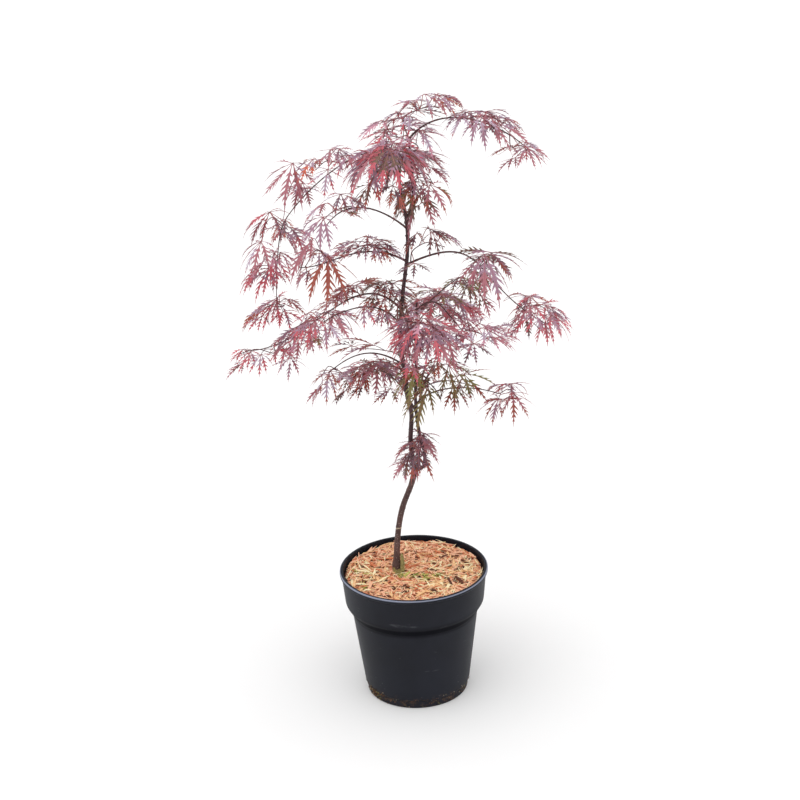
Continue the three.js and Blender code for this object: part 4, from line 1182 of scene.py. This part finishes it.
def lay_chips(bag, count, lengths, widths, thicks, lift, chooser, rng, tilt=0.16):
    for _ in range(count):
        r = edge_r * math.sqrt(rng.random())
        a = rng.uniform(0, 2 * math.pi)
        x, y = r * math.cos(a), r * math.sin(a)
        if math.hypot(x + 20.3, y) < 6.4:
            continue
        length, width = rng.uniform(*lengths), rng.uniform(*widths)
        heading = rng.uniform(0, math.pi)
        # keep both ends inside the wall and off the trunk
        for _ in range(6):
            ends = [(x + s * length / 2 * math.cos(heading), y + s * length / 2 * math.sin(heading)) for s in (1, -1)]
            if max(math.hypot(*p) for p in ends) < edge_r - 0.4:
                break
            heading = a + math.pi / 2 + rng.uniform(-0.5, 0.5)
            x, y = x * 0.97, y * 0.97
        near = np.array([-20.3, 0])
        way = np.array([math.cos(heading), math.sin(heading)])
        rel = near - [x, y]
        along = max(-length / 2, min(length / 2, rel @ way))
        if np.linalg.norm(rel - way * along) < 5.6:
            continue
        z = float(mulch_height(np.array(x), np.array(y))) + rng.uniform(*lift)
        v, t = shred(x, y, z, heading, length, width, rng.uniform(*thicks), rng.uniform(-tilt, tilt), rng.uniform(-0.2, 0.9), rng)
        far = np.hypot(v[:, 0], v[:, 1])
        pull = np.minimum(1, (edge_r - 0.1) / np.maximum(far, 1e-6))
        v[:, 0] *= pull
        v[:, 1] *= pull
        bag.add(v, t, MULCH_NAMES.index(chooser(x, y, rng)))


def chip_tint(x, y, rng):
    straw = straw_share(x, y)
    if rng.random() < moss_share(x, y) * 0.45:
        return "green" if rng.random() < 0.2 else "moss"
    if rng.random() < straw:
        return deal(rng, {"straw": 4, "tan": 4, "dark": 3})
    return deal(rng, {"salmon": 7, "rust": 2.6, "dark": 0.25, "tan": 1.6})


def fibre_tint(x, y, rng):
    if rng.random() < moss_share(x, y) * 0.9:
        return "green" if rng.random() < 0.22 else "moss"
    if rng.random() < 0.06 + 0.95 * straw_share(x, y):
        return "straw"
    return deal(rng, {"salmon": 5, "tan": 2, "rust": 1})


chips, fibres = Bag(), Bag()
lay_chips(chips, 1250, (7, 17), (1.9, 4.4), (0.7, 1.5), (-0.6, 1.8), chip_tint, rng, 0.3)
lay_chips(fibres, 820, (9, 21), (0.8, 1.6), (0.4, 0.8), (0.4, 2.6), fibre_tint, rng, 0.3)
lay_chips(chips, 260, (10, 20), (2.2, 4.6), (0.6, 1.2), (2.4, 4.0), chip_tint, rng, 0.24)
lay_chips(fibres, 260, (12, 22), (1.0, 2.0), (0.5, 0.9), (2.8, 4.6), fibre_tint, rng, 0.26)
lay_chips(chips, 110, (8, 14), (1.3, 2.6), (0.6, 1.1), (2.0, 3.6), chip_tint, rng, 0.8)
chips.piece("mulch_chips", MULCH_MATERIALS, "mulch", smooth=False)
fibres.piece("mulch_fibres", MULCH_MATERIALS, "mulch", smooth=False)

# ------------------------------------------------------------------ floor, light and camera
# a round pale floor that sweeps up far away all round, so that no edge shows behind the plant
floor_mesh = bpy.data.meshes.new("studio_floor")
sweep = np.radians(np.linspace(0, 84, 29))
cove = [(r, 0.0) for r in (1.5, 4.0, 7.0)] + [(9 + 8 * math.sin(a), 8 * (1 - math.cos(a))) for a in sweep]
SPOKES = 96
floor_verts, floor_faces = [(0, 0, 0)], []
for r, z in cove:
    floor_verts += [(r * math.cos(2 * math.pi * k / SPOKES), r * math.sin(2 * math.pi * k / SPOKES), z) for k in range(SPOKES)]
for k in range(SPOKES):
    j = (k + 1) % SPOKES
    floor_faces.append((0, 1 + k, 1 + j))
    for i in range(len(cove) - 1):
        a, b = 1 + i * SPOKES, 1 + (i + 1) * SPOKES
        floor_faces.append((a + k, b + k, b + j, a + j))
floor_mesh.from_pydata(floor_verts, [], floor_faces)
floor_mesh.polygons.foreach_set("use_smooth", [True] * len(floor_faces))
floor_ob = bpy.data.objects.new("studio_floor", floor_mesh)
bpy.context.scene.collection.objects.link(floor_ob)
m, nodes, links, bsdf = new_material("pale_floor")
bsdf.inputs["Base Color"].default_value = (0.868, 0.868, 0.868, 1)
bsdf.inputs["Roughness"].default_value = 0.9
bsdf.inputs["Specular IOR Level"].default_value = 0.0
floor_mesh.materials.append(m)

world = bpy.data.worlds.new("studio")
bpy.context.scene.world = world
world.use_nodes = True
world.node_tree.nodes["Background"].inputs["Color"].default_value = (1, 1, 1, 1)
world.node_tree.nodes["Background"].inputs["Strength"].default_value = 0.72


def sun(name, strength, angle, az, el):
    data = bpy.data.lights.new(name, "SUN")
    data.energy = strength
    data.angle = math.radians(angle)
    ob = bpy.data.objects.new(name, data)
    a, e = math.radians(az), math.radians(el)
    frm = np.array([math.cos(e) * math.sin(a), -math.cos(e) * math.cos(a), math.sin(e)])
    z = unit(frm)
    x = unit(np.cross([0, 0, 1], z))
    y = np.cross(z, x)
    ob.matrix_world = Matrix(((x[0], y[0], z[0], 0), (x[1], y[1], z[1], 0), (x[2], y[2], z[2], 3), (0, 0, 0, 1)))
    bpy.context.scene.collection.objects.link(ob)


sun("soft_key", 1.75, 75, -25, 76)

cam_data = bpy.data.cameras.new("camera")
cam = bpy.data.objects.new("camera", cam_data)
bpy.context.scene.collection.objects.link(cam)
cam_data.sensor_width = 36.0
cam_data.lens = 1737.0 / 800.0 * 36.0
cam_data.clip_start, cam_data.clip_end = 0.05, 200
pitch, tilt = math.radians(21.3), math.radians(2.3)
F = np.array([0, math.cos(pitch), -math.sin(pitch)])
U = np.array([0, math.sin(pitch), math.cos(pitch)])
Rt = np.array([1.0, 0, 0])
cx = Rt * math.cos(tilt) - U * math.sin(tilt)
cy = Rt * math.sin(tilt) + U * math.cos(tilt)
cam.matrix_world = Matrix((
    (cx[0], cy[0], -F[0], -0.0088),
    (cx[1], cy[1], -F[1], -2.0),
    (cx[2], cy[2], -F[2], 1.18),
    (0, 0, 0, 1),
))
bpy.context.scene.camera = cam
bpy.context.scene.view_settings.view_transform = "Standard"
bpy.context.scene.view_settings.look = "None"
bpy.context.scene.view_settings.exposure = 0.0

counts = {o.name: len(o.data.polygons) for o in bpy.context.scene.objects if o.type == "MESH" and not o.hide_render}
print("leaves", LEAF_COUNT[0], "triangles", sum(counts.values()), counts)
